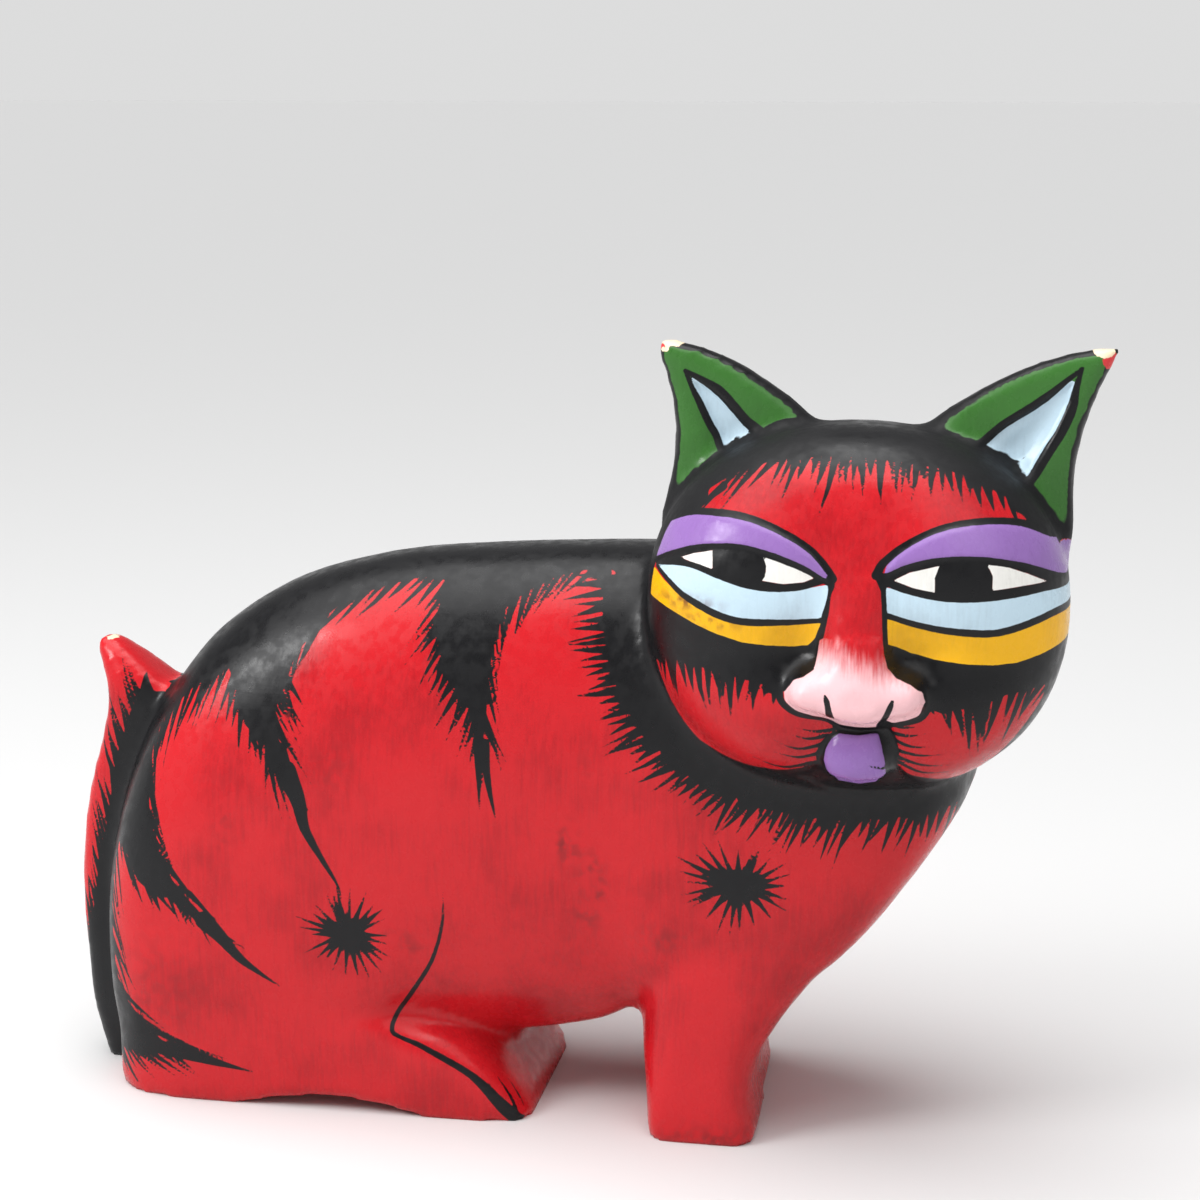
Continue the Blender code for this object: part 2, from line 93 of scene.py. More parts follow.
# Painted areas of the face and the ears, each a closed outline
faceShapes = {
    "leftLid": [(40.2, 220.1), (42.6, 225.1), (46.0, 229.0), (52.8, 231.6), (63.0, 232.6), (71.6, 231.9),
        (79.9, 229.5), (86.9, 226.4), (93.9, 221.7), (98.5, 216.7), (100.2, 213.7), (96.3, 215.1),
        (91.8, 217.7), (85.0, 220.5), (79.2, 222.3), (71.0, 223.7), (62.6, 223.3), (54.0, 221.8),
        (44.7, 217.8), (38.6, 214.1)],
    "leftLidLine": [(40.6, 223.8), (43.9, 228.2), (52.7, 232.2), (63.0, 233.3), (71.5, 232.8), (79.8, 230.6),
        (88.0, 227.0), (94.4, 222.9), (99.1, 217.9), (101.8, 214.3)],
    "leftEyeTop": [(38.6, 213.9), (44.7, 217.6), (54.0, 221.3), (62.7, 222.8), (71.0, 223.2), (79.2, 221.7),
        (85.0, 220.0), (91.8, 217.3), (96.9, 214.4), (100.8, 212.2)],
    "leftWhiteA": [(49.2, 217.5), (54.1, 219.6), (61.1, 221.5), (61.3, 215.4), (55.6, 216.4)],
    "leftPupil": [(60.9, 222.2), (66.2, 223.5), (72.2, 223.4), (78.1, 221.8), (79.6, 217.8), (79.3, 214.4),
        (77.3, 211.7), (70.3, 211.3), (64.3, 213.9), (61.4, 215.8)],
    "leftWhiteB": [(77.6, 221.5), (85.0, 219.7), (90.7, 217.7), (95.3, 214.2), (91.9, 212.8), (85.2, 212.1),
        (77.7, 213.1), (79.7, 216.3)],
    "leftEyeBottom": [(39.7, 213.4), (47.7, 215.5), (54.3, 215.7), (60.6, 214.4), (66.7, 212.8),
        (72.7, 211.4), (80.7, 210.6), (89.7, 211.0), (95.3, 212.3), (100.3, 214.1)],
    "leftBlue": [(41.0, 212.7), (49.4, 214.9), (58.2, 213.8), (66.8, 211.0), (75.0, 209.8), (85.3, 209.5),
        (94.2, 210.2), (100.1, 211.4), (99.7, 207.3), (97.7, 200.9), (89.8, 200.0), (80.8, 199.5),
        (71.6, 199.5), (64.5, 201.0), (57.1, 203.6), (50.7, 206.5), (45.9, 209.7)],
    "leftBlueLine": [(39.8, 212.3), (44.1, 209.6), (50.1, 205.6), (56.9, 202.6), (64.0, 200.0),
        (71.6, 198.7), (80.8, 198.8), (89.8, 199.1), (98.0, 200.1)],
    "leftYellow": [(38.8, 210.6), (43.2, 207.8), (49.4, 204.5), (55.9, 201.5), (63.3, 198.9), (71.6, 197.9),
        (80.8, 198.2), (89.8, 198.4), (97.8, 199.3), (95.8, 193.6), (93.4, 191.1), (88.6, 190.3),
        (80.7, 190.7), (71.5, 191.4), (63.2, 193.4), (55.8, 195.7), (48.1, 198.5), (41.0, 200.8),
        (36.8, 201.9), (36.8, 206.4)],
    "leftUnder": [(24.0, 206.5), (34.7, 203.2), (41.0, 201.1), (48.1, 199.0), (55.8, 196.2), (63.2, 193.9),
        (71.5, 191.9), (80.7, 191.1), (88.6, 190.8), (93.2, 191.5), (95.7, 194.0), (97.6, 199.3),
        (99.8, 211.5), (101.6, 214.7), (102.4, 212.4), (101.1, 208.9), (100.6, 203.2), (99.5, 197.3),
        (97.8, 189.9), (97.3, 185.1), (93.6, 182.2), (89.7, 180.6), (86.6, 176.4), (83.6, 174.4),
        (78.9, 175.6), (73.0, 176.2), (64.5, 177.7), (54.4, 178.4), (44.9, 178.8), (37.4, 178.6),
        (33.3, 184.2), (20.0, 184.2)],
    "leftUnderEdge": [(37.0, 179.5), (44.9, 179.5), (54.4, 178.9), (64.5, 178.2), (73.0, 176.7),
        (78.9, 176.0), (85.4, 175.6)],
    "rightLid": [(119.1, 216.6), (119.7, 219.0), (122.0, 221.9), (127.4, 225.9), (132.8, 228.7),
        (138.2, 230.7), (146.9, 232.2), (155.7, 232.0), (163.5, 229.9), (171.4, 224.8), (177.5, 220.1),
        (177.9, 210.8), (169.6, 216.1), (161.7, 219.6), (151.8, 221.8), (143.0, 222.4), (134.3, 221.8),
        (125.5, 219.6)],
    "rightLidLine": [(115.6, 216.2), (117.6, 219.9), (122.5, 224.3), (127.9, 227.8), (133.8, 230.6),
        (140.3, 232.4), (148.0, 233.2), (155.7, 232.9), (163.4, 231.0), (170.2, 227.1), (177.4, 222.4)],
    "rightSideLine": [(178.6, 227.0), (180.2, 219.0), (180.8, 211.0)],
    "rightEyeTop": [(116.3, 216.0), (119.6, 216.2), (125.5, 218.8), (134.3, 221.1), (143.1, 221.7),
        (151.8, 221.1), (161.8, 218.8), (169.6, 215.4), (178.3, 210.2)],
    "rightWhiteA": [(121.2, 214.6), (126.6, 217.4), (136.2, 219.9), (134.7, 215.9), (134.8, 211.1),
        (127.9, 212.3)],
    "rightPupil": [(136.2, 220.5), (143.1, 221.1), (150.8, 220.5), (152.9, 216.7), (153.1, 211.7),
        (150.1, 209.5), (143.5, 209.0), (138.0, 209.9), (135.0, 211.6), (134.6, 215.9)],
    "rightWhiteB": [(149.7, 220.2), (156.3, 219.4), (164.1, 216.1), (170.8, 212.4), (163.1, 212.3),
        (153.1, 211.6), (153.1, 216.2), (151.9, 218.7)],
    "rightEyeBottom": [(116.5, 215.5), (120.3, 213.3), (125.7, 211.6), (134.7, 209.9), (143.5, 209.2),
        (152.3, 209.4), (162.1, 210.1), (169.8, 210.7), (178.4, 210.1)],
    "rightBlue": [(119.0, 211.6), (126.9, 209.8), (137.0, 208.1), (145.8, 207.7), (154.5, 207.8),
        (163.3, 208.5), (171.0, 209.1), (190.0, 209.6), (190.0, 204.4), (173.4, 203.0), (166.8, 201.2),
        (159.2, 199.0), (152.6, 198.1), (143.8, 198.6), (134.9, 199.7), (126.0, 201.6), (119.7, 204.0)],
    "rightBlueLine": [(118.9, 203.4), (126.0, 200.8), (134.9, 198.8), (143.9, 197.8), (153.2, 197.1),
        (160.1, 198.1), (167.8, 200.1), (173.5, 201.7), (178.7, 202.1)],
    "rightYellow": [(120.2, 201.8), (128.2, 199.6), (137.2, 197.9), (146.1, 196.9), (154.9, 196.4),
        (161.5, 197.1), (169.1, 198.9), (190.0, 202.2), (190.0, 194.8), (169.5, 188.0), (161.8, 186.2),
        (154.1, 186.0), (144.1, 187.0), (135.1, 187.9), (127.2, 190.0), (120.2, 193.6)],
    "rightUnder": [(117.3, 215.9), (119.2, 212.9), (119.6, 203.0), (120.2, 194.1), (127.2, 190.6),
        (135.1, 188.5), (144.1, 187.6), (154.1, 186.6), (161.8, 186.8), (169.5, 188.6), (179.0, 192.4),
        (190.0, 196.0), (190.0, 176.0), (172.3, 172.6), (164.5, 172.6), (157.9, 172.2), (150.3, 168.6),
        (141.4, 169.3), (134.1, 172.1), (132.1, 178.2), (128.0, 181.3), (123.4, 183.2), (120.2, 186.5),
        (118.8, 192.0), (117.9, 204.3), (117.4, 211.0), (115.1, 215.9)],
    "rightUnderEdge": [(133.9, 173.5), (141.4, 170.3), (150.2, 169.6), (157.3, 173.1), (164.5, 173.7),
        (172.3, 174.3), (177.1, 179.0)],
    "nose": [(97.6, 193.9), (97.0, 189.2), (96.3, 184.5), (93.0, 182.1), (89.5, 180.6), (87.0, 176.5),
        (87.2, 173.3), (90.5, 170.1), (95.0, 168.2), (100.7, 166.9), (104.2, 164.9), (111.0, 164.4),
        (116.6, 164.6), (122.3, 166.4), (128.2, 168.5), (131.6, 170.5), (133.1, 174.1), (131.9, 178.5),
        (128.0, 181.3), (123.4, 183.1), (120.4, 186.4), (119.0, 191.5), (118.5, 195.9)],
    "noseLine": [(84.5, 175.9), (85.5, 172.5), (89.6, 169.0), (95.0, 167.4), (100.4, 166.4), (104.0, 164.1),
        (110.9, 163.4), (116.8, 163.8), (122.3, 165.7), (128.0, 167.3), (132.0, 169.6), (133.7, 173.7)],
    "nostrilLeft": [(100.6, 177.3), (101.4, 174.9), (102.2, 169.7)],
    "nostrilRight": [(122.6, 176.6), (121.2, 172.7), (118.1, 165.3)],
    "tongue": [(104.3, 161.3), (111.0, 161.2), (117.3, 162.3), (118.7, 158.0), (120.0, 152.2),
        (120.1, 148.0), (116.1, 141.4), (110.3, 140.0), (103.4, 141.4), (100.5, 147.5), (99.4, 151.7),
        (100.1, 156.0), (101.9, 159.4)],
    "mouth": [(101.8, 166.4), (104.7, 164.3), (110.9, 163.7), (117.7, 164.2), (121.4, 164.6), (123.1, 161.5),
        (124.4, 156.3), (123.8, 150.7), (126.1, 145.3), (131.0, 141.3), (128.3, 134.5), (119.1, 135.1),
        (109.8, 134.6), (100.4, 136.1), (93.7, 139.8), (89.3, 142.7), (94.3, 145.0), (96.9, 149.0),
        (96.5, 153.0), (97.8, 157.1), (100.4, 160.6), (103.6, 162.3)],
    "cheekLeft": [(33.3, 184.2), (35.3, 175.3), (37.7, 167.8), (43.6, 160.0), (50.2, 153.4), (57.8, 148.4),
        (67.1, 144.7), (77.5, 144.3), (84.8, 144.4), (92.0, 146.1), (98.0, 149.5)],
    "cheekRight": [(123.2, 149.9), (126.7, 145.7), (132.3, 143.5), (140.1, 141.7), (146.8, 142.9),
        (153.6, 147.1), (159.9, 154.2), (165.0, 161.1), (170.2, 169.2), (174.4, 178.7)],
    "crown": [(54.5, 233.6), (59.7, 238.3), (66.6, 242.7), (75.9, 246.6), (84.0, 248.7), (92.0, 249.8),
        (103.5, 250.0), (113.7, 249.7), (125.0, 248.3), (133.9, 247.2), (141.8, 244.5), (148.6, 241.2),
        (155.4, 237.7), (161.6, 233.9)],
    "leftEarPatch": [(48.0, 272.8), (54.1, 269.4), (57.2, 267.1), (61.5, 262.6), (65.2, 258.9),
        (70.9, 254.0), (70.6, 252.8), (67.9, 251.2), (64.4, 249.3), (62.5, 247.9), (59.1, 249.6),
        (57.0, 254.3), (54.1, 259.1), (51.2, 265.5), (49.0, 269.2)],
    "leftEarLineA": [(45.1, 276.1), (52.3, 272.3), (57.8, 268.7), (63.3, 262.9), (67.0, 258.9),
        (72.9, 254.8)],
    "leftEarLineB": [(45.1, 276.1), (48.1, 269.2), (50.3, 265.1), (53.2, 258.8), (56.1, 253.8),
        (58.2, 249.2), (61.7, 246.9)],
    "rightEarPatch": [(176.3, 274.4), (175.4, 268.1), (170.7, 257.1), (166.4, 249.5), (163.2, 243.6),
        (160.7, 240.6), (154.9, 244.9), (149.0, 249.1), (144.7, 251.6), (148.5, 254.3), (155.7, 260.8),
        (164.1, 265.6), (170.2, 270.9)],
    "rightEarLineA": [(179.5, 279.7), (173.5, 274.5), (168.5, 270.1), (161.8, 265.3), (154.0, 260.2),
        (147.4, 254.3), (143.7, 252.0)],
    "rightEarLineB": [(179.5, 279.7), (177.7, 272.7), (176.6, 266.4), (173.5, 258.6), (169.2, 251.3),
        (165.0, 243.6), (162.0, 240.0)],
    "earBaseLeft": [(86.5, 259.2), (79.5, 258.6), (73.2, 255.5), (72.3, 253.6), (67.9, 250.7), (62.6, 247.2),
        (57.0, 242.1), (51.0, 238.0), (44.5, 232.3), (39.1, 226.1)],
    "earBaseRight": [(131.6, 257.8), (138.2, 255.1), (144.6, 251.8), (152.5, 247.2), (160.7, 240.7),
        (165.4, 234.8), (171.9, 227.7), (177.0, 222.8)],
}

# Painted areas of the body
bodyShapes = {
    "back": [(-170.2, -4.7), (-195.6, -2.7), (-195.9, 107.5), (-182.5, 160.1), (-151.3, 197.9),
        (-93.0, 219.1), (49.5, 222.6), (50.6, 185.0), (26.0, 188.0), (21.0, 198.0), (18.8, 202.0),
        (6.3, 201.5), (-1.5, 198.9), (-9.2, 195.1), (-15.5, 191.0), (-17.5, 184.3), (-18.8, 178.0),
        (-19.7, 170.2), (-20.1, 162.4), (-20.0, 153.2), (-21.2, 145.1), (-22.4, 134.1), (-23.9, 134.0),
        (-25.3, 142.2), (-27.7, 151.5), (-31.5, 158.5), (-36.2, 163.8), (-39.9, 169.1), (-42.2, 176.7),
        (-44.6, 185.6), (-43.7, 193.9), (-43.6, 197.6), (-51.0, 197.0), (-59.2, 195.0), (-70.2, 191.5),
        (-77.9, 188.1), (-85.3, 181.7), (-90.1, 174.5), (-93.8, 167.6), (-94.9, 161.0), (-98.0, 155.3),
        (-98.7, 147.5), (-95.8, 140.8), (-93.6, 131.6), (-91.8, 123.4), (-88.4, 115.9), (-94.1, 119.0),
        (-98.2, 124.4), (-101.7, 129.7), (-105.5, 138.7), (-109.2, 142.0), (-113.3, 145.1), (-116.4, 152.2),
        (-119.5, 159.9), (-122.3, 163.3), (-127.0, 160.0), (-134.8, 154.5), (-140.4, 148.9), (-146.8, 142.4),
        (-149.4, 134.9), (-149.3, 124.6), (-148.3, 114.1), (-146.3, 106.2), (-143.0, 96.7), (-138.4, 88.6),
        (-131.4, 80.8), (-124.5, 73.7), (-118.9, 65.2), (-124.7, 67.0), (-132.8, 74.5), (-140.9, 78.4),
        (-149.4, 80.0), (-156.1, 83.8), (-160.4, 90.8), (-163.9, 95.5), (-165.8, 87.6), (-167.1, 72.8),
        (-165.9, 50.8), (-164.1, 40.6), (-157.9, 35.4), (-151.4, 29.3), (-146.6, 25.3), (-137.7, 22.9),
        (-128.9, 19.0), (-136.7, 15.8), (-147.5, 15.8), (-159.4, 15.7), (-169.3, 13.2)],
    "haunch": [(-37.8, 90.4), (-38.7, 77.0), (-43.4, 61.9), (-52.2, 47.4), (-58.1, 38.6), (-59.1, 33.5),
        (-56.0, 31.1), (-45.4, 27.0), (-29.1, 17.8), (-17.7, 5.4), (-12.5, -0.5)],
    "collar": [(12.6, 204.9), (14.6, 188.5), (18.8, 170.2), (30.3, 149.5), (52.0, 132.5), (77.3, 123.9),
        (100.2, 120.7), (123.9, 122.2), (144.0, 123.7), (158.0, 132.0)],
    "tailRed": [(-158.2, 149.0), (-146.0, 149.0), (-146.0, 190.0), (-215.0, 190.0), (-215.0, 46.2)],
    "tailEdge": [(-162.3, 156.0), (-163.8, 148.5), (-166.9, 140.4), (-171.6, 129.7), (-174.8, 119.0),
        (-176.9, 106.8), (-179.3, 94.4), (-182.7, 83.5), (-184.3, 70.9), (-187.0, 58.2), (-190.7, 46.2)],
}


def blackEdge(first, last):
    # the points of the back's outline from one of them to another, either way round
    outline = bodyShapes["back"]
    a, b = outline.index(first), outline.index(last)
    return outline[a:b + 1] if a < b else outline[b:a + 1][::-1]


# Edges of the black of the body, along which its hair strokes stand
hairPaths = {
    "bandInner": blackEdge((-122.3, 163.3), (-118.9, 65.2)),
    "branchLeft": blackEdge((-163.9, 95.5), (-124.7, 67.0)),
    "bandLower": blackEdge((-165.8, 87.6), (-164.1, 40.6)),
    "lowTop": blackEdge((-164.1, 40.6), (-137.7, 22.9)) + [(-129.5, 19.9)],
    "lowBottom": blackEdge((-169.3, 13.2), (-136.7, 15.8)),
    "stripeALeft": blackEdge((-119.5, 159.9), (-94.1, 119.0)),
    "stripeARight": blackEdge((-94.9, 161.0), (-91.8, 123.4)),
    "spineA": [(-94.9, 166.0)] + blackEdge((-90.1, 174.5), (-43.6, 197.6)),
    "stripeBLeft": blackEdge((-43.7, 193.9), (-25.3, 142.2)),
    "stripeBRight": blackEdge((-15.5, 191.0), (-21.2, 145.1)),
    "spineB": blackEdge((18.8, 202.0), (-15.5, 191.0)),
}

# Long tapering strokes: path, and half the width at its points
longStrokes = [
    ([(-95.6, 131.0), (-91.0, 121.0), (-88.6, 110.8), (-82.8, 100.2), (-76.9, 90.4), (-75.3, 84.5)],
     (4.2, 2.9, 1.9, 1.1, 0.5, 0.1)),
    ([(-128.0, 73.0), (-121.8, 67.2), (-114.7, 59.6), (-107.6, 54.4), (-99.0, 48.6)],
     (3.6, 2.6, 1.7, 0.9, 0.1)),
    ([(-144.0, 20.4), (-138.0, 19.2), (-127.6, 16.9), (-120.3, 15.3), (-110.8, 13.4)],
     (3.4, 2.6, 1.7, 0.9, 0.1)),
    ([(-24.7, 144.9), (-24.3, 134.0), (-23.9, 119.8)], (1.9, 1.1, 0.1)),
    ([(-22.3, 145.0), (-21.0, 131.4), (-17.7, 115.9)], (1.8, 1.2, 0.1)),
]
flankStrokes = [
    (bodyShapes["haunch"], (0.1, 0.6, 0.75, 0.85, 0.85, 0.75, 0.6, 0.95, 1.25, 2.3, 2.4)),
]
# Strokes on the toes, as Y and Z
toeStrokes = [
    ([(-24.5, 15.0), (-25.5, 7.0), (-26.0, 1.0)], (0.1, 0.6, 0.3)),
    ([(-20.5, 17.0), (-21.5, 9.0), (-22.5, 2.0)], (0.1, 0.6, 0.3)),
    ([(-16.5, 14.0), (-17.5, 8.0), (-18.5, 3.0)], (0.1, 0.5, 0.1)),
    ([(58.5, 15.0), (59.5, 8.0), (60.0, 3.0)], (0.1, 0.6, 0.2)),
    ([(54.5, 13.0), (55.5, 8.0), (56.0, 4.0)], (0.1, 0.5, 0.1)),
]

# The two starry spots: middle, half width and height of the core, then each ray's degrees and length
starSpots = [
    {"middle": (-73.6, 71.3), "core": (6.4, 5.2), "seed": 21, "rays": [
        (101, 18.4), (116, 17.4), (108, 16.4), (137, 17.2), (150, 15.4), (163, 19.9), (174, 17.8),
        (183, 13.3), (206, 18.9), (220, 15.5), (230, 13.9), (247, 16.4), (265, 16.8), (281, 17.3),
        (294, 18.9), (309, 19.1), (321, 17.4), (331, 17.6), (347, 16.9), (0, 14.6), (26, 15.4),
        (39, 17.8), (50, 15.9), (66, 18.8), (85, 18.1)]},
    {"middle": (68.9, 98.6), "core": (8.0, 6.0), "seed": 22, "rays": [
        (115, 18.0), (131, 19.8), (145, 19.8), (157, 24.8), (169, 22.9), (179, 19.4), (193, 21.5),
        (202, 21.5), (208, 18.2), (228, 17.5), (247, 19.8), (260, 18.9), (271, 17.4), (291, 15.4),
        (315, 16.8), (334, 19.6), (347, 18.5), (4, 17.2), (17, 18.5), (30, 18.8), (45, 15.4), (64, 16.3),
        (71, 13.1), (93, 14.1)]},
]

star = {
    "inside": 0.82,  # share of the core's width at which a ray starts
    "waist": (0.22, 0.42), "waistShare": 0.6,  # where a ray narrows, and to how much
    "thick": (1.0, 1.7), "tip": 0.14,
}
earBaseDull = 16.0  # reach of the dull black beside the feet of the ears
noPaint = 9.0  # distance given where no paint is near

# Soft dark scuffs on the red, and a broad painted shade low on the rump: place, reach across and up, strength
scuffsAndShade = [
    (7.0, 109.9, 2.6, 5.0, 0.9), (17.6, 92.4, 2.6, 4.4, 0.8), (15.5, 100.6, 3.0, 5.0, 0.6),
    (15.1, 81.3, 2.4, 4.0, 0.6), (40.7, 76.2, 8.0, 3.4, 0.5), (-55.9, 71.3, 4.5, 1.4, 0.6),
    (-50.5, 67.0, 4.0, 1.2, 0.5), (-78.9, 132.7, 5.0, 6.0, 0.3), (-118.5, 108.0, 1.0, 8.0, 0.45),
    (-51.8, 107.0, 1.0, 9.0, 0.35), (14.5, 140.0, 2.0, 6.0, 0.3), (52.0, 203.0, 9.0, 2.0, 0.8),
    # (-150, 40) is painted shade on the lower rump; (60, 3) darkens the red along the foot of the front leg,
    # next to the floor
    (60.0, 197.5, 9.0, 1.8, 0.7), (-150.0, 40.0, 16.0, 20.0, 0.25), (60.0, 3.0, 18.0, 3.5, 0.45),
]

whiskers = [
    [(102.6, 162.7), (96.3, 161.8), (89.6, 163.3)],
    [(100.3, 160.4), (93.9, 159.1), (86.7, 161.5)],
    [(98.3, 157.0), (90.5, 155.1), (81.4, 159.1)],
    [(97.4, 153.6), (90.4, 151.5), (81.9, 153.6)],
    [(96.4, 149.9), (85.1, 146.7), (74.5, 150.5)],
    [(95.4, 147.2), (84.7, 143.5), (75.7, 146.4)],
    [(120.0, 167.2), (125.1, 164.9), (131.0, 165.8)],
    [(123.1, 162.5), (127.9, 162.1), (133.4, 163.4)],
    [(123.6, 159.9), (128.7, 158.0), (135.0, 158.3)],
    [(124.3, 156.2), (131.1, 154.7), (139.7, 155.3)],
    [(123.6, 153.9), (131.8, 150.6), (141.2, 150.4)],
    [(124.3, 151.6), (131.7, 147.1), (141.9, 147.0)],
]
whiskerWide = [0.7, 0.6, 0.06]  # half of it, at the root, a third of the way and the tip

# Lines of black paint over the face: name of the path, half its width at the start, middle and end
faceLines = [
    ("leftLidLine", 0.7, 1.1, 1.2), ("leftEyeTop", 0.7, 1.2, 0.8), ("leftEyeBottom", 0.7, 1.2, 0.7),
    ("leftBlueLine", 0.7, 1.3, 0.8), ("rightLidLine", 1.5, 1.0, 0.9),
    ("rightSideLine", 1.5, 1.5, 1.2), ("rightEyeTop", 0.9, 1.2, 1.3),
    ("rightEyeBottom", 0.9, 1.3, 1.4), ("rightBlueLine", 0.9, 1.3, 1.3), ("noseLine", 1.4, 0.9, 1.5),
    ("nostrilLeft", 0.5, 1.0, 1.5), ("nostrilRight", 0.6, 1.0, 1.3), ("cheekLeft", 0.9, 0.8, 1.0),
    ("cheekRight", 0.8, 0.7, 0.9), ("leftEarLineA", 0.7, 1.9, 2.1), ("leftEarLineB", 0.7, 1.2, 1.2),
    ("rightEarLineA", 0.6, 1.5, 1.6), ("rightEarLineB", 0.6, 1.8, 1.6), ("earBaseLeft", 1.8, 1.7, 1.6),
    ("earBaseRight", 1.3, 1.7, 1.9),
]
faceBlack = ["leftUnder", "rightUnder", "leftPupil", "rightPupil"]
# No hair stroke crosses these
keptClear = ["nose", "leftLid", "rightLid", "leftBlue", "rightBlue", "leftYellow", "rightYellow"]

# Rows of hair strokes: path, direction in degrees along it (0 right, 90 up), length, gap
faceHairs = [
    {"path": "crown", "aim": (-138, -128, -112, -90, -88, -78, -62), "length": (6, 13), "gap": 2.6,
     "seed": 11, "grow": (0.7, 1.1, 1.0, 1.0, 0.8, 0.7, 0.5, 0.3)},
    {"path": "leftUnderEdge", "aim": (-75, -80, -82, -88, -100, -108), "length": (6, 12), "gap": 2.6,
     "seed": 12, "grow": (0.8, 1.2, 1.2, 0.9, 0.8, 0.6)},
    {"path": "rightUnderEdge", "aim": (-72, -85, -96, -108, -122, -130), "length": (6, 12), "gap": 2.6,
     "seed": 13, "grow": (0.6, 0.8, 1.2, 1.2, 0.8, 0.6)},
]
# The same for the body: path, length, gap, directions; the seeds count on from the first
bodyHairs = [
    ("bandInner", (10, 18), 2.0, (-106, -108, -102, -90, -78, -66, -56, -48, -40, -34)),
    ("branchLeft", (6, 12), 2.2, (-80, -72, -64, -56, -50)),
    ("bandLower", (12, 20), 1.7, (-80, -76, -68, -55)),
    ("lowTop", (10, 20), 1.9, (-44, -28, -18, -14, -12)),
    ("lowBottom", (9, 17), 2.4, (-48, -42, -36, -30)),
    ("stripeALeft", (9, 18), 2.3, (-102, -96, -90, -86, -78, -72)),
    ("stripeARight", (9, 18), 2.2, (-56, -60, -64, -62)),
    ("spineA", (8, 16), 2.4, (-108, -120, -130, -134, -132)),
    ("stripeBLeft", (8, 16), 2.3, (-128, -120, -114, -108)),
    ("stripeBRight", (8, 16), 2.3, (-92, -82, -76, -70, -66)),
    ("spineB", (7, 14), 2.4, (-168, -142, -126, -116, -98)),
]
bodyFirstSeed = 31
collarHairs = {
    "aim": (-176, -170, -162, -150, -138, -120, -114, -112, -108, -106),
    "length": (6, 13), "gap": 2.5, "seed": 42,
}
tailHairs = {"aim": (114, 108, 105, 102, 100), "length": (10, 19), "gap": 2.0, "seed": 43, "spread": 3.0}
# How every row's strokes are made
brush = {
    "spread": 5.0,  # degrees
    "pitch": (0.65, 1.35),  # share of the gap
    "long": (0.12, 1.45), "short": (0.22, 0.6),  # how many are so, and their length
    "bend": 0.03,
    "rooted": 1.2, "deepest": 13.0,  # where a stroke starts inside the black
    "rootWide": 0.52, "middleWide": 0.27,  # half widths, as shares of the pitch
    "tip": 0.06,
    "flattest": 0.30,  # sine of the least angle to the path
}
backInset, faceInset = 1.9, 2.2  # how far the black stops inside its outline where hair strokes stand
collarInset = 3.2  # how far the collar's strokes start inside its outline
print("tables ready")


# Distances, negative inside
def segmentDistance(spots, a, b, wideA=0.0, wideB=0.0):
    a, b = np.asarray(a, float), np.asarray(b, float)
    along = b - a
    share = np.clip(((spots - a) @ along) / max(along @ along, 1e-9), 0.0, 1.0)
    gap = np.hypot(*(spots - a - share[:, None] * along).T)
    return gap - (wideA + share * (wideB - wideA))


def nearSpots(spots, outline, margin):
    low, high = np.min(outline, axis=0) - margin, np.max(outline, axis=0) + margin
    return np.nonzero(np.all((spots > low) & (spots < high), axis=1))[0]


def areaDistance(spots, outline, margin=noPaint):
    result = np.full(len(spots), margin)
    near = nearSpots(spots, outline, margin)
    if not len(near):
        return result
    local = spots[near]
    gap = np.full(len(near), 1e9)
    inside = np.zeros(len(near), bool)
    for a, b in zip(outline, outline[1:] + outline[:1]):
        gap = np.minimum(gap, segmentDistance(local, a, b))
        if a[1] != b[1]:
            crossing = (a[1] > local[:, 1]) != (b[1] > local[:, 1])
            at = a[0] + (local[:, 1] - a[1]) / (b[1] - a[1]) * (b[0] - a[0])
            inside ^= crossing & (local[:, 0] < at)
    result[near] = np.minimum(margin, np.where(inside, -gap, gap))
    return result


def strokeDistance(spots, path, wide, margin=6.0):
    result = np.full(len(spots), margin)
    near = nearSpots(spots, path, margin)
    if not len(near):
        return result
    local = spots[near]
    gap = np.full(len(near), margin)
    for i in range(len(path) - 1):
        gap = np.minimum(gap, segmentDistance(local, path[i], path[i + 1], wide[i], wide[i + 1]))
    result[near] = gap
    return result


def rounded(path, steps=4):
    # more points along a path, on a smooth curve through its own
    path = np.asarray(path, float)
    full = np.vstack([2 * path[0] - path[1], path, 2 * path[-1] - path[-2]])
    made = []
    for i in range(1, len(full) - 2):
        before, a, b, after = full[i - 1:i + 3]
        for t in np.linspace(0, 1, steps, endpoint=False):
            made.append(0.5 * (2 * a + (b - before) * t + (2 * before - 5 * a + 4 * b - after) * t**2
                               + (3 * a - before - 3 * b + after) * t**3))
    made.append(full[-2])
    return np.array(made)


def lineOfPaint(path, start, middle, end):
    curve = rounded(path)
    t = np.linspace(0, 1, len(curve))
    wide = np.interp(t, [0, 0.35, 0.7, 1], [start, middle, middle, end])
    return curve, wide


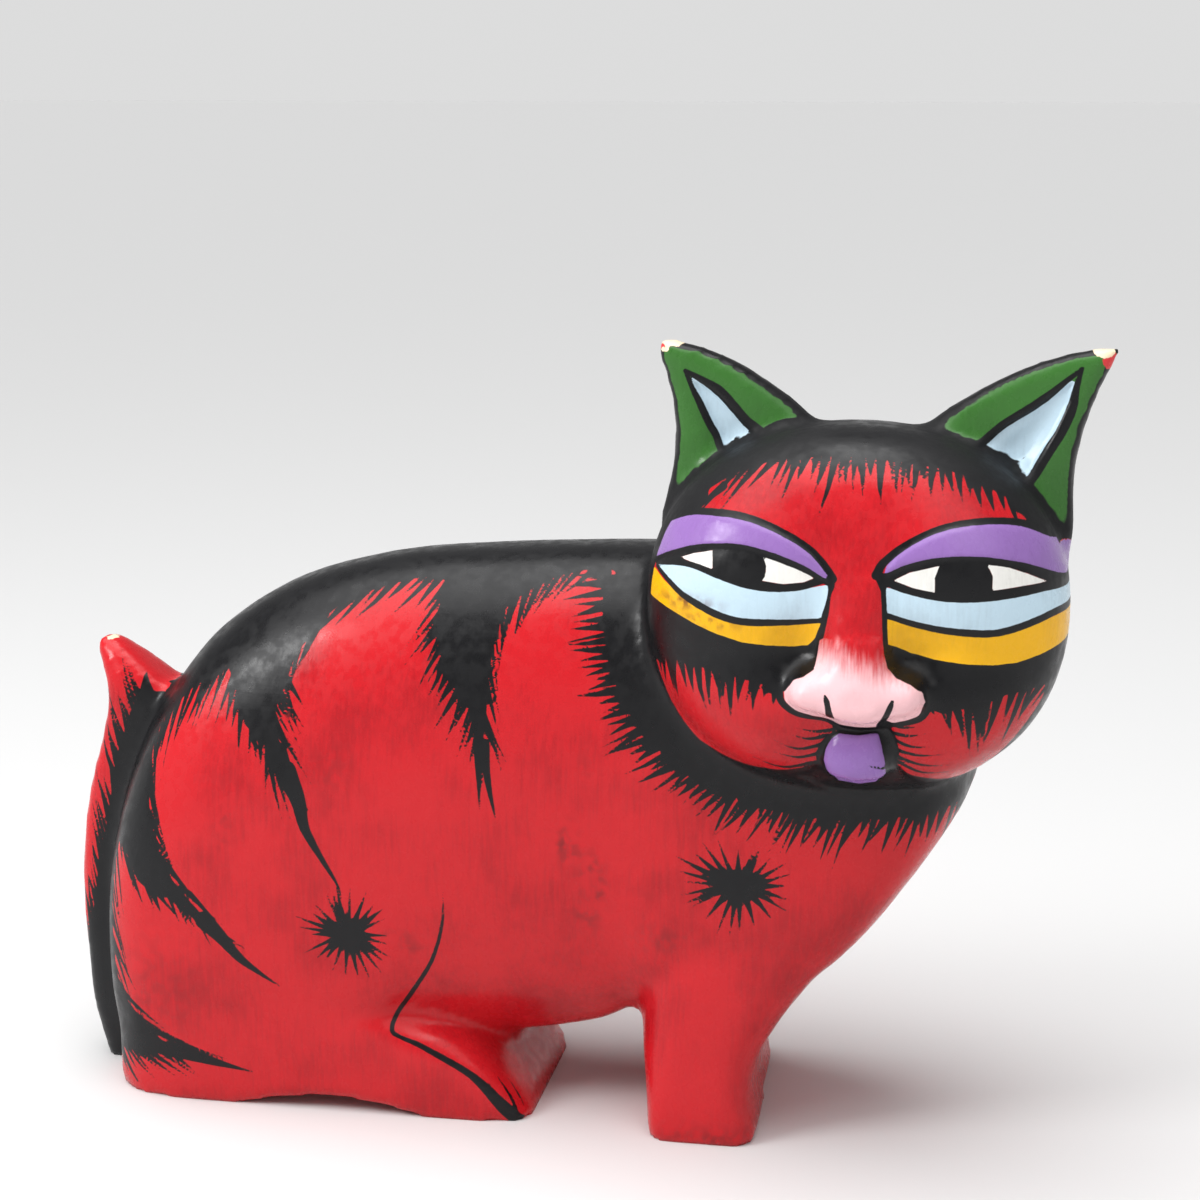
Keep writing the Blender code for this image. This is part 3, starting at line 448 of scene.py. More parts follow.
def hairRow(path, row, inset):
    # tapered strokes standing side by side, "gap" apart across them, rooted inside the black
    rng = np.random.default_rng(row["seed"])
    curve = rounded(path, 8)
    legs = np.diff(curve, axis=0)
    reach = np.concatenate([[0], np.cumsum(np.hypot(*legs.T))])
    aim, grow = row["aim"], row.get("grow", (1.0, 1.0))
    strokes = []
    at = 0.0
    while at < reach[-1]:
        share = at / reach[-1]
        k = min(np.searchsorted(reach, at, side="right") - 1, len(legs) - 1)
        base = curve[k] + (at - reach[k]) / (reach[k + 1] - reach[k]) * legs[k]
        degrees = np.interp(share, np.linspace(0, 1, len(aim)), aim)
        turn = math.radians(degrees + rng.normal(0, row.get("spread", brush["spread"])))
        way = np.array([math.cos(turn), math.sin(turn)])
        along = legs[k] / np.hypot(*legs[k])
        slant = max(abs(along[0] * way[1] - along[1] * way[0]), brush["flattest"])
        pitch = row["gap"] * rng.uniform(*brush["pitch"])
        long = rng.uniform(*row["length"]) * np.interp(share, np.linspace(0, 1, len(grow)), grow)
        for some, size in (brush["long"], brush["short"]):
            long *= size if rng.random() < some else 1.0
        bend = np.array([-way[1], way[0]]) * rng.normal(0, brush["bend"]) * long
        root = base - way * min((inset + brush["rooted"]) / slant, brush["deepest"])
        tip = base + way * long
        wide = np.array([pitch * brush["rootWide"], pitch * brush["middleWide"], brush["tip"]])
        strokes.append((np.array([root, root + (tip - root) * 0.5 + bend, tip]), wide))
        at += pitch / slant
    return strokes


def starSpot(spot):
    # rays of a starry spot, thick at the root and some of them lumped together
    rng = np.random.default_rng(spot["seed"])
    middle = np.array(spot["middle"])
    strokes = []
    for degrees, long in spot["rays"]:
        turn = math.radians(degrees)
        way = np.array([math.cos(turn), math.sin(turn)])
        root = way * np.array(spot["core"]) * star["inside"]
        waist = root + way * rng.uniform(*star["waist"]) * (long - np.hypot(*root))
        thick = rng.uniform(*star["thick"])
        strokes.append((np.array([middle + root, middle + waist, middle + way * long]),
                        np.array([thick, thick * star["waistShare"], star["tip"]])))
    return strokes


def headRing(spots):
    across = np.abs(spots[:, 0] - head["x"]) / head["halfWidth"]
    rise = np.abs(spots[:, 1] - head["z"]) / head["halfHeight"]
    return (across ** head["power"] + rise ** head["power"]) ** (1 / head["power"])


# The paint of the face: every stroke and area of black
faceStrokes, earStrokes, faceHairStrokes, faceCarve = [], [], [], []
for name, start, middle, end in faceLines:
    strokes = earStrokes if "Ear" in name or "earBase" in name else faceStrokes
    strokes.append(lineOfPaint(faceShapes[name], start, middle, end))
tongueCrack = [(np.array([(114.5, 151.6), (119.6, 150.6)]), np.array([0.3, 0.5]))]
for row in faceHairs:
    faceHairStrokes += hairRow(faceShapes[row["path"]], row, faceInset)
    curve = rounded(faceShapes[row["path"]][1:-1])
    faceCarve.append((curve, np.full(len(curve), faceInset)))
for path in whiskers:
    curve = rounded(path)
    faceStrokes.append((curve, np.interp(np.linspace(0, 1, len(curve)), [0, 0.35, 1], whiskerWide)))

crownArea = faceShapes["crown"] + [
    (163.5, 231.8), (170.2, 227.6), (188, 212), (186, 240), (165, 262), (106, 275), (45, 262), (28, 232),
    (28, 214), (40.6, 223.8), (46.0, 229.6), (53.5, 232.6)]
jawArea = [(20, 184.2)] + faceShapes["cheekLeft"] + faceShapes["cheekRight"]
jawArea += [(200, 178.7), (200, 115), (20, 115)]
eyeOpenings = [(faceShapes[side + "EyeTop"] + faceShapes[side + "EyeBottom"][::-1],
                (faceShapes[side + "WhiteA"], faceShapes[side + "WhiteB"])) for side in ("left", "right")]
collarArea = bodyShapes["collar"] + [(150.0, 165.0), (106.0, 200.0), (60.0, 212.0)]
tailRed = bodyShapes["tailRed"] + bodyShapes["tailEdge"][::-1]


def drawn(rows):
    made = []
    for path, wide in rows:
        curve = rounded(path)
        made.append((curve, np.interp(np.linspace(0, 1, len(curve)), np.linspace(0, 1, len(path)), wide)))
    return made


bodyStrokes, haunchStrokes, toePaint = drawn(longStrokes), drawn(flankStrokes), drawn(toeStrokes)
for k, (name, length, gap, aim) in enumerate(bodyHairs):
    row = {"length": length, "gap": gap, "aim": aim, "seed": bodyFirstSeed + k}
    bodyStrokes += hairRow(hairPaths[name], row, backInset)
spotStrokes = sum([starSpot(spot) for spot in starSpots], [])
collarStrokes = hairRow(bodyShapes["collar"], collarHairs, collarInset)
tailStrokes = hairRow(bodyShapes["tailEdge"][1:], tailHairs, 0.0)
bodyCount = len(bodyStrokes + spotStrokes + collarStrokes + tailStrokes)
print("strokes:", len(faceStrokes), "on the face,", bodyCount, "on the body")


def nearest(spots, strokes, gap):
    for path, wide in strokes:
        gap = np.minimum(gap, strokeDistance(spots, path, wide))
    return gap


def partsOf(points):
    # which points are the face, the ears, the rest of the head, and the tail
    across, depth, rise = points.T
    ring = headRing(points[:, [0, 2]])
    onHead = ring < head["sideShare"]
    face = onHead & (depth < np.where(across > head["rightX"], head["rightY"], head["rimY"]))
    ear = (ring > head["earShare"]) & (rise > ears["lowZ"]) & ~(face & (ring < 1.0))
    mane = (across > head["maneX"]) & (rise > head["maneZ"])
    headSide = onHead & ((rise > head["backZ"]) | (across > head["rightX"]) | mane) & ~face & ~ear
    tail = (across < tailPlace["endX"]) & (np.abs(depth - farSide["middleY"]) < tailPlace["halfDepth"])
    return ring, face & ~ear, ear, headSide, tail


def faceInk(front, ring):
    # distance to the black of the face
    gap = areaDistance(front, crownArea)
    for name in faceBlack:
        gap = np.minimum(gap, areaDistance(front, faceShapes[name]))
    gap = np.maximum(gap, -nearest(front, faceCarve, np.full(len(front), noPaint)))
    gap = nearest(front, faceHairStrokes, gap)
    for name in keptClear:
        gap = np.maximum(gap, -areaDistance(front, faceShapes[name]))
    gap = nearest(front, faceStrokes, gap)
    tongue = areaDistance(front, faceShapes["tongue"])
    for outline in (faceShapes["mouth"], jawArea):
        gap = np.minimum(gap, np.maximum(areaDistance(front, outline), -tongue))
    gap = nearest(front, tongueCrack, gap)
    for opening, whites in eyeOpenings:
        white = np.minimum(areaDistance(front, whites[0]), areaDistance(front, whites[1]))
        gap = np.minimum(gap, np.maximum(areaDistance(front, opening), -white))
    rim = np.interp(front[:, 0] - head["x"], head["rimAcross"], head["rimShare"])
    return np.minimum(gap, (rim - ring) * head["halfHeight"])


def earInk(points, normals):
    # the lines on the front of the ears, and their black edges and backs
    gap = nearest(points[:, [0, 2]], earStrokes, np.full(len(points), noPaint))
    gap = np.where(normals[:, 1] < 0, gap, noPaint)
    gap = np.minimum(gap, points[:, 1] - ears["footY"])
    return np.minimum(gap, (-ears["frontNormal"] - normals[:, 1]) * ears["normalReach"])


def bodyInk(points, normals, headSide, tail):
    # the back, stripes, haunch line, toes, spots, collar, sides of the head, and tail
    side, depth = points[:, [0, 2]], points[:, 1]
    lift = np.clip(depth / farSide["liftDepth"], 0, 1)
    lift = farSide["collarLift"] * lift * lift * (3 - 2 * lift)
    lifted = side - np.column_stack([np.zeros(len(side)), lift])
    gap = areaDistance(side, bodyShapes["back"]) + backInset
    gap = nearest(side, bodyStrokes, gap)
    flank = np.abs(depth - farSide["middleY"]) > farSide["flank"]
    gap[flank] = nearest(side[flank], haunchStrokes, gap[flank])
    onToes = (normals[:, 0] > toes["facing"]) & (side[:, 1] < toes["topZ"])
    onToes &= (side[:, 0] > toes["leftX"]) & (side[:, 0] < toes["rightX"])
    gap[onToes] = nearest(points[onToes][:, [1, 2]], toePaint, gap[onToes])
    nearSide = depth < farSide["middleY"]
    gap[nearSide] = nearest(side[nearSide], spotStrokes, gap[nearSide])
    for spot in starSpots:
        across = (side - spot["middle"]) / np.array(spot["core"])
        core = (np.hypot(*across.T) - 1) * min(spot["core"])
        gap = np.where(nearSide, np.minimum(gap, core), gap)
    gap = np.minimum(gap, areaDistance(lifted, collarArea) + collarInset)
    gap = nearest(lifted, collarStrokes, gap)
    gap = np.where(headSide, np.minimum(gap, -2.0), gap)
    red = np.full(len(side), noPaint)
    red[tail] = areaDistance(side[tail], tailRed)
    gap = np.maximum(gap, -red)
    gap[tail] = nearest(side[tail], tailStrokes, gap[tail])
    return gap


def paintFields(points, normals):
    # how far every point is from each paint
    spots = points[:, [0, 2]]
    ring, face, ear, headSide, tail = partsOf(points)
    rest = ~face & ~ear
    ink = np.full(len(points), noPaint)
    ink[face] = faceInk(spots[face], ring[face])
    ink[ear] = earInk(points[ear], normals[ear])
    ink[rest] = bodyInk(points[rest], normals[rest], headSide[rest], tail[rest])

    def zone(names, where, grown):
        gap = np.full(len(points), noPaint)
        for name in names:
            gap[where] = np.minimum(gap[where], areaDistance(spots[where], faceShapes[name]) - grown)
        return gap

    fields = {"inkBlack": ink}
    fields["lidPurple"] = zone(["leftLid", "rightLid", "tongue"], face, 0.8)
    fields["skyBlue"] = np.minimum(
        zone(["leftBlue", "rightBlue"], face, 0.8), zone(["leftEarPatch", "rightEarPatch"], ear, 1.0))
    fields["warmYellow"] = zone(["leftYellow", "rightYellow"], face, 0.7)
    fields["eyeWhite"] = zone(["leftWhiteA", "leftWhiteB", "rightWhiteA", "rightWhiteB"], face, 0.0)
    fields["nosePink"] = zone(["nose"], face, 0.6)
    fields["earGreen"] = np.where(ear, -2.0, 2.0)
    return fields


def wearFields(points):
    # bare paper and red at the ear tips, a painted highlight at the tail's tip, the fade on the nose, dark
    # scuffs with painted shade on the lower rump, and the dull black beside the feet of the ears
    _, _, ear, _, tail = partsOf(points)
    left = points[:, 0] < head["x"]
    tips = {}
    for name, where in (("leftEar", ear & left), ("rightEar", ear & ~left), ("tail", tail)):
        tips[name] = points[where][np.argmax(points[where, 2])]
    bare = {name: np.full(len(points), noPaint) for name in ("bareCreamAndHighlight", "bareRed")}
    # chips at the ear tips; the one on the tail's tip is a painted highlight
    for name, paint, shift, reach in chips:
        away = (points - tips[name] - np.array(shift)) / np.array(reach)
        bare[paint] = np.minimum(bare[paint], (np.linalg.norm(away, axis=1) - 1) * min(reach))
    across = np.clip(points[:, 0] - head["x"], -noseFade["halfWidth"], noseFade["halfWidth"])
    below = noseFade["redZ"] - points[:, 2] - across * noseFade["lean"]
    bare["noseFade"] = np.clip(below / noseFade["reach"], -1, 2)
    dark = np.zeros(len(points))
    # dark scuffs, and painted shade on the lower rump
    for x, z, across, rise, strength in scuffsAndShade:
        q = ((points[:, 0] - x) / across) ** 2 + ((points[:, 2] - z) / rise) ** 2
        dark = np.maximum(dark, strength * np.exp(-q * 0.7) * (points[:, 1] < farSide["middleY"]))
    bare["scuffAndShade"] = dark
    beside = np.full(len(points), earBaseDull)
    for name in ("earBaseLeft", "earBaseRight"):
        path = rounded(faceShapes[name])
        beside = np.minimum(beside, strokeDistance(points[:, [0, 2]], path, np.zeros(len(path)), earBaseDull))
    bare["dullBlack"] = 1 - beside / earBaseDull
    return bare


def reliefOf(points):
    # how far the modelling stands out of the face, towards -Y; the mouth and the ears' hollows sink
    spots = points[:, [0, 2]]
    _, face, ear, _, _ = partsOf(points)
    out = np.zeros(len(points))
    for names, part, height, soft in relief:
        gap = np.full(len(points), noPaint)
        where = face if part == "face" else ear & (points[:, 1] < ears["frontY"])
        for name in names:
            gap[where] = np.minimum(gap[where], areaDistance(spots[where], faceShapes[name]))
        share = np.clip(0.5 - gap / soft, 0, 1)
        out += height * share * share * (3 - 2 * share)
    return out


def placed(name, data):
    thing = bpy.data.objects.new(name, data)
    bpy.context.scene.collection.objects.link(thing)
    return thing


def meshOf(name, points, tris):
    mesh = bpy.data.meshes.new(name)
    mesh.vertices.add(len(points))
    mesh.vertices.foreach_set("co", (points / 1000).ravel())
    mesh.loops.add(len(tris) * 3)
    mesh.loops.foreach_set("vertex_index", tris.ravel().astype(np.int32))
    mesh.polygons.add(len(tris))
    mesh.polygons.foreach_set("loop_start", np.arange(0, len(tris) * 3, 3, dtype=np.int32))
    mesh.update(calc_edges=True)
    mesh.validate()
    return mesh


def modified(mesh, kind, **settings):
    # points and triangles of a mesh after one modifier; the mesh itself is used up
    form = placed("skinForm", mesh)
    modifier = form.modifiers.new("step", kind)
    for name, value in settings.items():
        setattr(modifier, name, value)
    graph = bpy.context.evaluated_depsgraph_get()
    made = bpy.data.meshes.new_from_object(form.evaluated_get(graph))
    made.calc_loop_triangles()
    points = np.empty(len(made.vertices) * 3)
    made.vertices.foreach_get("co", points)
    tris = np.empty(len(made.loop_triangles) * 3, np.int64)
    made.loop_triangles.foreach_get("vertices", tris)
    bpy.data.objects.remove(form)
    bpy.data.meshes.remove(made)
    bpy.data.meshes.remove(mesh)
    return points.reshape(-1, 3) * 1000, tris.reshape(-1, 3)


def edgesOf(tris):
    pairs = np.sort(np.concatenate([tris[:, [0, 1]], tris[:, [1, 2]], tris[:, [2, 0]]]), axis=1)
    code = pairs[:, 0] * (tris.max() + 1) + pairs[:, 1]
    _, first, index = np.unique(code, return_index=True, return_inverse=True)
    return pairs[first], index.reshape(3, -1).T


def normalsOf(points, tris):
    cross = np.cross(points[tris[:, 1]] - points[tris[:, 0]], points[tris[:, 2]] - points[tris[:, 0]])
    total = np.column_stack([
        np.bincount(tris.ravel(), np.repeat(cross[:, axis], 3), minlength=len(points)) for axis in range(3)
    ])
    return total / np.maximum(np.linalg.norm(total, axis=1, keepdims=True), 1e-12)


def smoothed(points, tris, rounds):
    # in and out by turns, so that the form keeps its size
    edges, _ = edgesOf(tris)
    a, b = edges.T
    count = np.bincount(edges.ravel(), minlength=len(points))
    grounded = points[:, 2] < skin["groundBand"]
    for step in range(rounds * 2):
        weight = 0.5 if step % 2 == 0 else -0.526
        total = np.column_stack([
            np.bincount(a, points[b, axis], minlength=len(points))
            + np.bincount(b, points[a, axis], minlength=len(points))
            for axis in range(3)
        ])
        points = points + weight * (total / count[:, None] - points)
        points[grounded, 2] = 0.0
    return points


def splitOnce(points, tris, marked, edges, index):
    # every triangle with a marked edge also splits its longest one, so that none grows thin
    length = np.linalg.norm(points[edges[:, 0]] - points[edges[:, 1]], axis=1)
    longest = index[np.arange(len(tris)), np.argmax(length[index], axis=1)]
    while True:
        touched = marked[index].any(axis=1) & ~marked[longest]
        if not touched.any():
            break
        marked[longest[touched]] = True
    facing = normalsOf(points, tris)
    a, b = edges[marked].T
    middle = (points[a] + points[b]) / 2
    toA = np.sum((middle - points[a]) * facing[a], axis=1, keepdims=True) * facing[a]
    toB = np.sum((middle - points[b]) * facing[b], axis=1, keepdims=True) * facing[b]
    made = middle - (toA + toB) / 4
    flat = (points[a, 2] == 0) & (points[b, 2] == 0)
    made[flat, 2] = 0.0
    place = np.full(len(edges), -1)
    place[marked] = len(points) + np.arange(marked.sum())
    new = place[index]
    count = (new >= 0).sum(axis=1)
    kept = [tris[count == 0]]
    a, b, c = tris[count == 3].T
    ab, bc, ca = new[count == 3].T
    kept += [np.column_stack(t) for t in ((a, ab, ca), (ab, b, bc), (ca, bc, c), (ab, bc, ca))]
    for turn in range(3):
        corners, halves = np.roll(tris, -turn, axis=1), np.roll(new, -turn, axis=1)
        one = (count == 1) & (halves[:, 0] >= 0)
        a, b, c = corners[one].T
        ab = halves[one, 0]
        kept += [np.column_stack((a, ab, c)), np.column_stack((ab, b, c))]
        two = (count == 2) & (halves[:, 0] < 0)
        a, b, c = corners[two].T
        bc, ca = halves[two, 1], halves[two, 2]
        kept += [np.column_stack((c, ca, bc)), np.column_stack((a, b, bc)), np.column_stack((a, bc, ca))]
    return np.vstack([points, made]), np.vstack(kept)


def refined(points, tris):
    # shorter edges where the paint changes, so that its borders are sharp
    for step in range(skin["rounds"]):
        facing = normalsOf(points, tris)
        edges, index = edgesOf(tris)
        ink = paintFields(points, facing)["inkBlack"]
        length = np.linalg.norm(points[edges[:, 0]] - points[edges[:, 1]], axis=1)
        border = np.minimum(np.abs(ink[edges[:, 0]]), np.abs(ink[edges[:, 1]])) < 0.52 * length
        far = points[edges, 1].mean(axis=1) > farSide["middleY"]
        marked = border & (length > np.where(far, skin["farEdge"], skin["inkEdge"]) * 1.4)
        onFace = (points[:, 1] < head["rimY"]) & (headRing(points[:, [0, 2]]) < 1.0)
        marked |= onFace[edges].all(axis=1) & (length > skin["faceEdge"] * 1.5)
        print("refining, step", step + 1, "edges to split:", int(marked.sum()), "triangles:", len(tris))
        if marked.sum() < skin["fewEdges"]:
            break
        points, tris = splitOnce(points, tris, marked, edges, index)
    return points, tris


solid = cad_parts[catNode].data.copy()
points, tris = modified(solid, "REMESH", mode="VOXEL", voxel_size=skin["voxel"] / 1000)
print("even mesh:", len(points), "points,", len(tris), "triangles")
points = smoothed(points, tris, skin["smoothRounds"])
wave = np.array([
    noise.noise(Vector(p) * skin["slowWave"])
    + noise.noise(Vector(p) * skin["quickWave"] + Vector((40, 0, 0))) * 0.5 for p in points
])
facing = normalsOf(points, tris)
lifted = points[:, 2] > skin["groundBand"]
points[lifted] += (facing * wave[:, None] * skin["unevenness"])[lifted]
points, tris = modified(meshOf("thinForm", points, tris), "DECIMATE", ratio=skin["thinning"])
points[points[:, 2] < skin["flatBand"], 2] = 0.0
points, tris = refined(points, tris)
facing = normalsOf(points, tris)
fields = {**paintFields(points, facing), **wearFields(points)}
points[:, 1] -= reliefOf(points)
low, high = [np.array(corner) * 1000 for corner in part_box(catNode)]
points = np.clip(points, low, high)
print("skin:", len(points), "points,", len(tris), "triangles")

mesh = meshOf("papier_mache_skin", points, tris)
mesh.shade_smooth()
for name, values in fields.items():
    layer = mesh.attributes.new(name, "FLOAT", "POINT")
    layer.data.foreach_set("value", values.astype(np.float32))
cat = placed("painted_cat", mesh)
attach(cat, "root")
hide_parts(catNode)


# Shader groups
def newGroup(name, inputs, outputs):
    group = bpy.data.node_groups.new(name, "ShaderNodeTree")
    for label, kind, value in inputs:
        socket = group.interface.new_socket(label, in_out="INPUT", socket_type=kind)
        if value is not None:
            socket.default_value = value
    for label, kind in outputs:
        group.interface.new_socket(label, in_out="OUTPUT", socket_type=kind)
    return group, group.nodes.new("NodeGroupInput"), group.nodes.new("NodeGroupOutput")


def add(tree, kind, **settings):
    node = tree.nodes.new(kind)
    for name, value in settings.items():
        setattr(node, name, value)
    return node


def sums(tree, operation, a, b=None, c=None):
    node = add(tree, "ShaderNodeMath", operation=operation)
    for socket, value in zip(node.inputs, (a, b, c)):
        if isinstance(value, (int, float)):
            socket.default_value = value
        elif value is not None:
            tree.links.new(value, socket)
    return node.outputs[0]


def stretch(tree, value, low, high, fromZero=0.0, toOne=1.0):
    ramp = add(tree, "ShaderNodeMapRange", interpolation_type="SMOOTHSTEP")
    for label, number in (("From Min", low), ("From Max", high), ("To Min", fromZero), ("To Max", toOne)):
        ramp.inputs[label].default_value = number
    tree.links.new(value, ramp.inputs["Value"])
    return ramp.outputs["Result"]


def buildPaintLayer():
    # lays one paint over another: distance in millimetres, negative where the paint is
    group, inside, out = newGroup("paintLayer", [
        ("Under", "NodeSocketColor", (1, 1, 1, 1)), ("Paint", "NodeSocketColor", (0, 0, 0, 1)),
        ("Distance", "NodeSocketFloat", 1.0), ("Softness", "NodeSocketFloat", 0.14),
        ("Waver", "NodeSocketFloat", 0.25),
    ], [("Color", "NodeSocketColor"), ("Mask", "NodeSocketFloat")])
    where = add(group, "ShaderNodeTexCoord")
    grain = add(group, "ShaderNodeTexNoise")
    grain.inputs["Scale"].default_value = 420.0
    grain.inputs["Detail"].default_value = 2.0
    group.links.new(where.outputs["Object"], grain.inputs["Vector"])
    shake = sums(group, "SUBTRACT", grain.outputs["Fac"], 0.5)
    shake = sums(group, "MULTIPLY", shake, inside.outputs["Waver"])
    gap = sums(group, "ADD", inside.outputs["Distance"], shake)
    edge = add(group, "ShaderNodeMapRange", interpolation_type="SMOOTHSTEP")
    group.links.new(gap, edge.inputs["Value"])
    group.links.new(sums(group, "MULTIPLY", inside.outputs["Softness"], -1.0), edge.inputs["From Min"])
    group.links.new(inside.outputs["Softness"], edge.inputs["From Max"])
    edge.inputs["To Min"].default_value = 1.0
    edge.inputs["To Max"].default_value = 0.0
    mix = add(group, "ShaderNodeMix", data_type="RGBA")
    group.links.new(edge.outputs["Result"], mix.inputs["Factor"])
    group.links.new(inside.outputs["Under"], mix.inputs["A"])
    group.links.new(inside.outputs["Paint"], mix.inputs["B"])
    group.links.new(mix.outputs["Result"], out.inputs["Color"])
    group.links.new(edge.outputs["Result"], out.inputs["Mask"])
    return group


def buildBrushWeave():
    # fine crossing brush marks and dents: height, tone and blotches from 0 to 1
    group, inside, out = newGroup("brushWeave", [("Scale", "NodeSocketFloat", 1.0)], [
        ("Height", "NodeSocketFloat"), ("Tone", "NodeSocketFloat"), ("Blotches", "NodeSocketFloat")])
    where = add(group, "ShaderNodeTexCoord")

    def marks(stretch, detail):
        scaled = add(group, "ShaderNodeVectorMath", operation="MULTIPLY")
        scaled.inputs[1].default_value = stretch
        group.links.new(where.outputs["Object"], scaled.inputs[0])
        node = add(group, "ShaderNodeTexNoise")
        node.inputs["Detail"].default_value = detail
        group.links.new(inside.outputs["Scale"], node.inputs["Scale"])
        group.links.new(scaled.outputs[0], node.inputs["Vector"])
        return node.outputs["Fac"]

    upright, level = marks((850.0, 850.0, 70.0), 3.0), marks((60.0, 260.0, 900.0), 3.0)
    dents = marks((95.0, 95.0, 120.0), 2.0)
    height = sums(group, "ADD", sums(group, "MULTIPLY", upright, 0.30), sums(group, "MULTIPLY", level, 0.30))
    height = sums(group, "ADD", height, sums(group, "MULTIPLY", dents, 0.6))
    clouds = sums(group, "MULTIPLY", marks((30.0, 30.0, 30.0), 5.0), 0.7)
    tone = sums(group, "ADD", clouds, sums(group, "MULTIPLY", upright, 0.3))
    group.links.new(height, out.inputs["Height"])
    group.links.new(tone, out.inputs["Tone"])
    group.links.new(marks((260.0, 260.0, 220.0), 4.0), out.inputs["Blotches"])
    return group


def buildHairStreaks():
    # upright streaks of a dry brush, about -0.5 to 0.5
    group, _, out = newGroup("hairStreaks", [], [("Streak", "NodeSocketFloat")])
    where = add(group, "ShaderNodeTexCoord")
    scaled = add(group, "ShaderNodeVectorMath", operation="MULTIPLY")
    scaled.inputs[1].default_value = (1000.0, 300.0, 70.0)
    group.links.new(where.outputs["Object"], scaled.inputs[0])
    node = add(group, "ShaderNodeTexNoise")
    node.inputs["Scale"].default_value = 1.0
    node.inputs["Detail"].default_value = 2.0
    group.links.new(scaled.outputs[0], node.inputs["Vector"])
    group.links.new(sums(group, "SUBTRACT", node.outputs["Fac"], 0.5), out.inputs["Streak"])
    return group


paintLayer, brushWeave, hairStreaks = buildPaintLayer(), buildBrushWeave(), buildHairStreaks()

# Colours of the paint pots
paints = {
    "red": (0.560, 0.012, 0.018, 1), "redShade": (0.450, 0.009, 0.015, 1),
    "inkBlack": (0.0055, 0.0055, 0.0065, 1), "lidPurple": (0.285, 0.150, 0.440, 1),
    "skyBlue": (0.560, 0.730, 0.840, 1), "warmYellow": (0.900, 0.470, 0.004, 1),
    "eyeWhite": (0.860, 0.850, 0.810, 1), "nosePink": (0.900, 0.540, 0.570, 1),
    # bare cream: the paper in the ear chips, and a painted highlight on the tail's tip
    "earGreen": (0.045, 0.160, 0.030, 1), "bareCreamAndHighlight": (0.880, 0.720, 0.500, 1),
    # the dark of the scuffs and of the painted shade on the lower rump
    "bareRed": (0.700, 0.045, 0.050, 1), "scuffAndShadeDark": (0.120, 0.012, 0.014, 1),
}
finish = {
    "cloudRed": (0.34, 0.58), "cloudTone": (0.30, 0.52), "toneDown": (0.88, 0.88, 0.88, 1),
    "scuffShadeShow": (0.40, 0.62), "grimeRough": (0.35, 0.65), "rough": (0.20, 0.34),
    "inkRough": 0.07, "inkDull": 0.34, "inkWaver": 0.3, "chipWaver": 1.6,
    "specular": 0.28, "bump": 0.2, "bumpDepth": 0.0004, "inkHeight": 0.25, "streaks": 0.7,
}


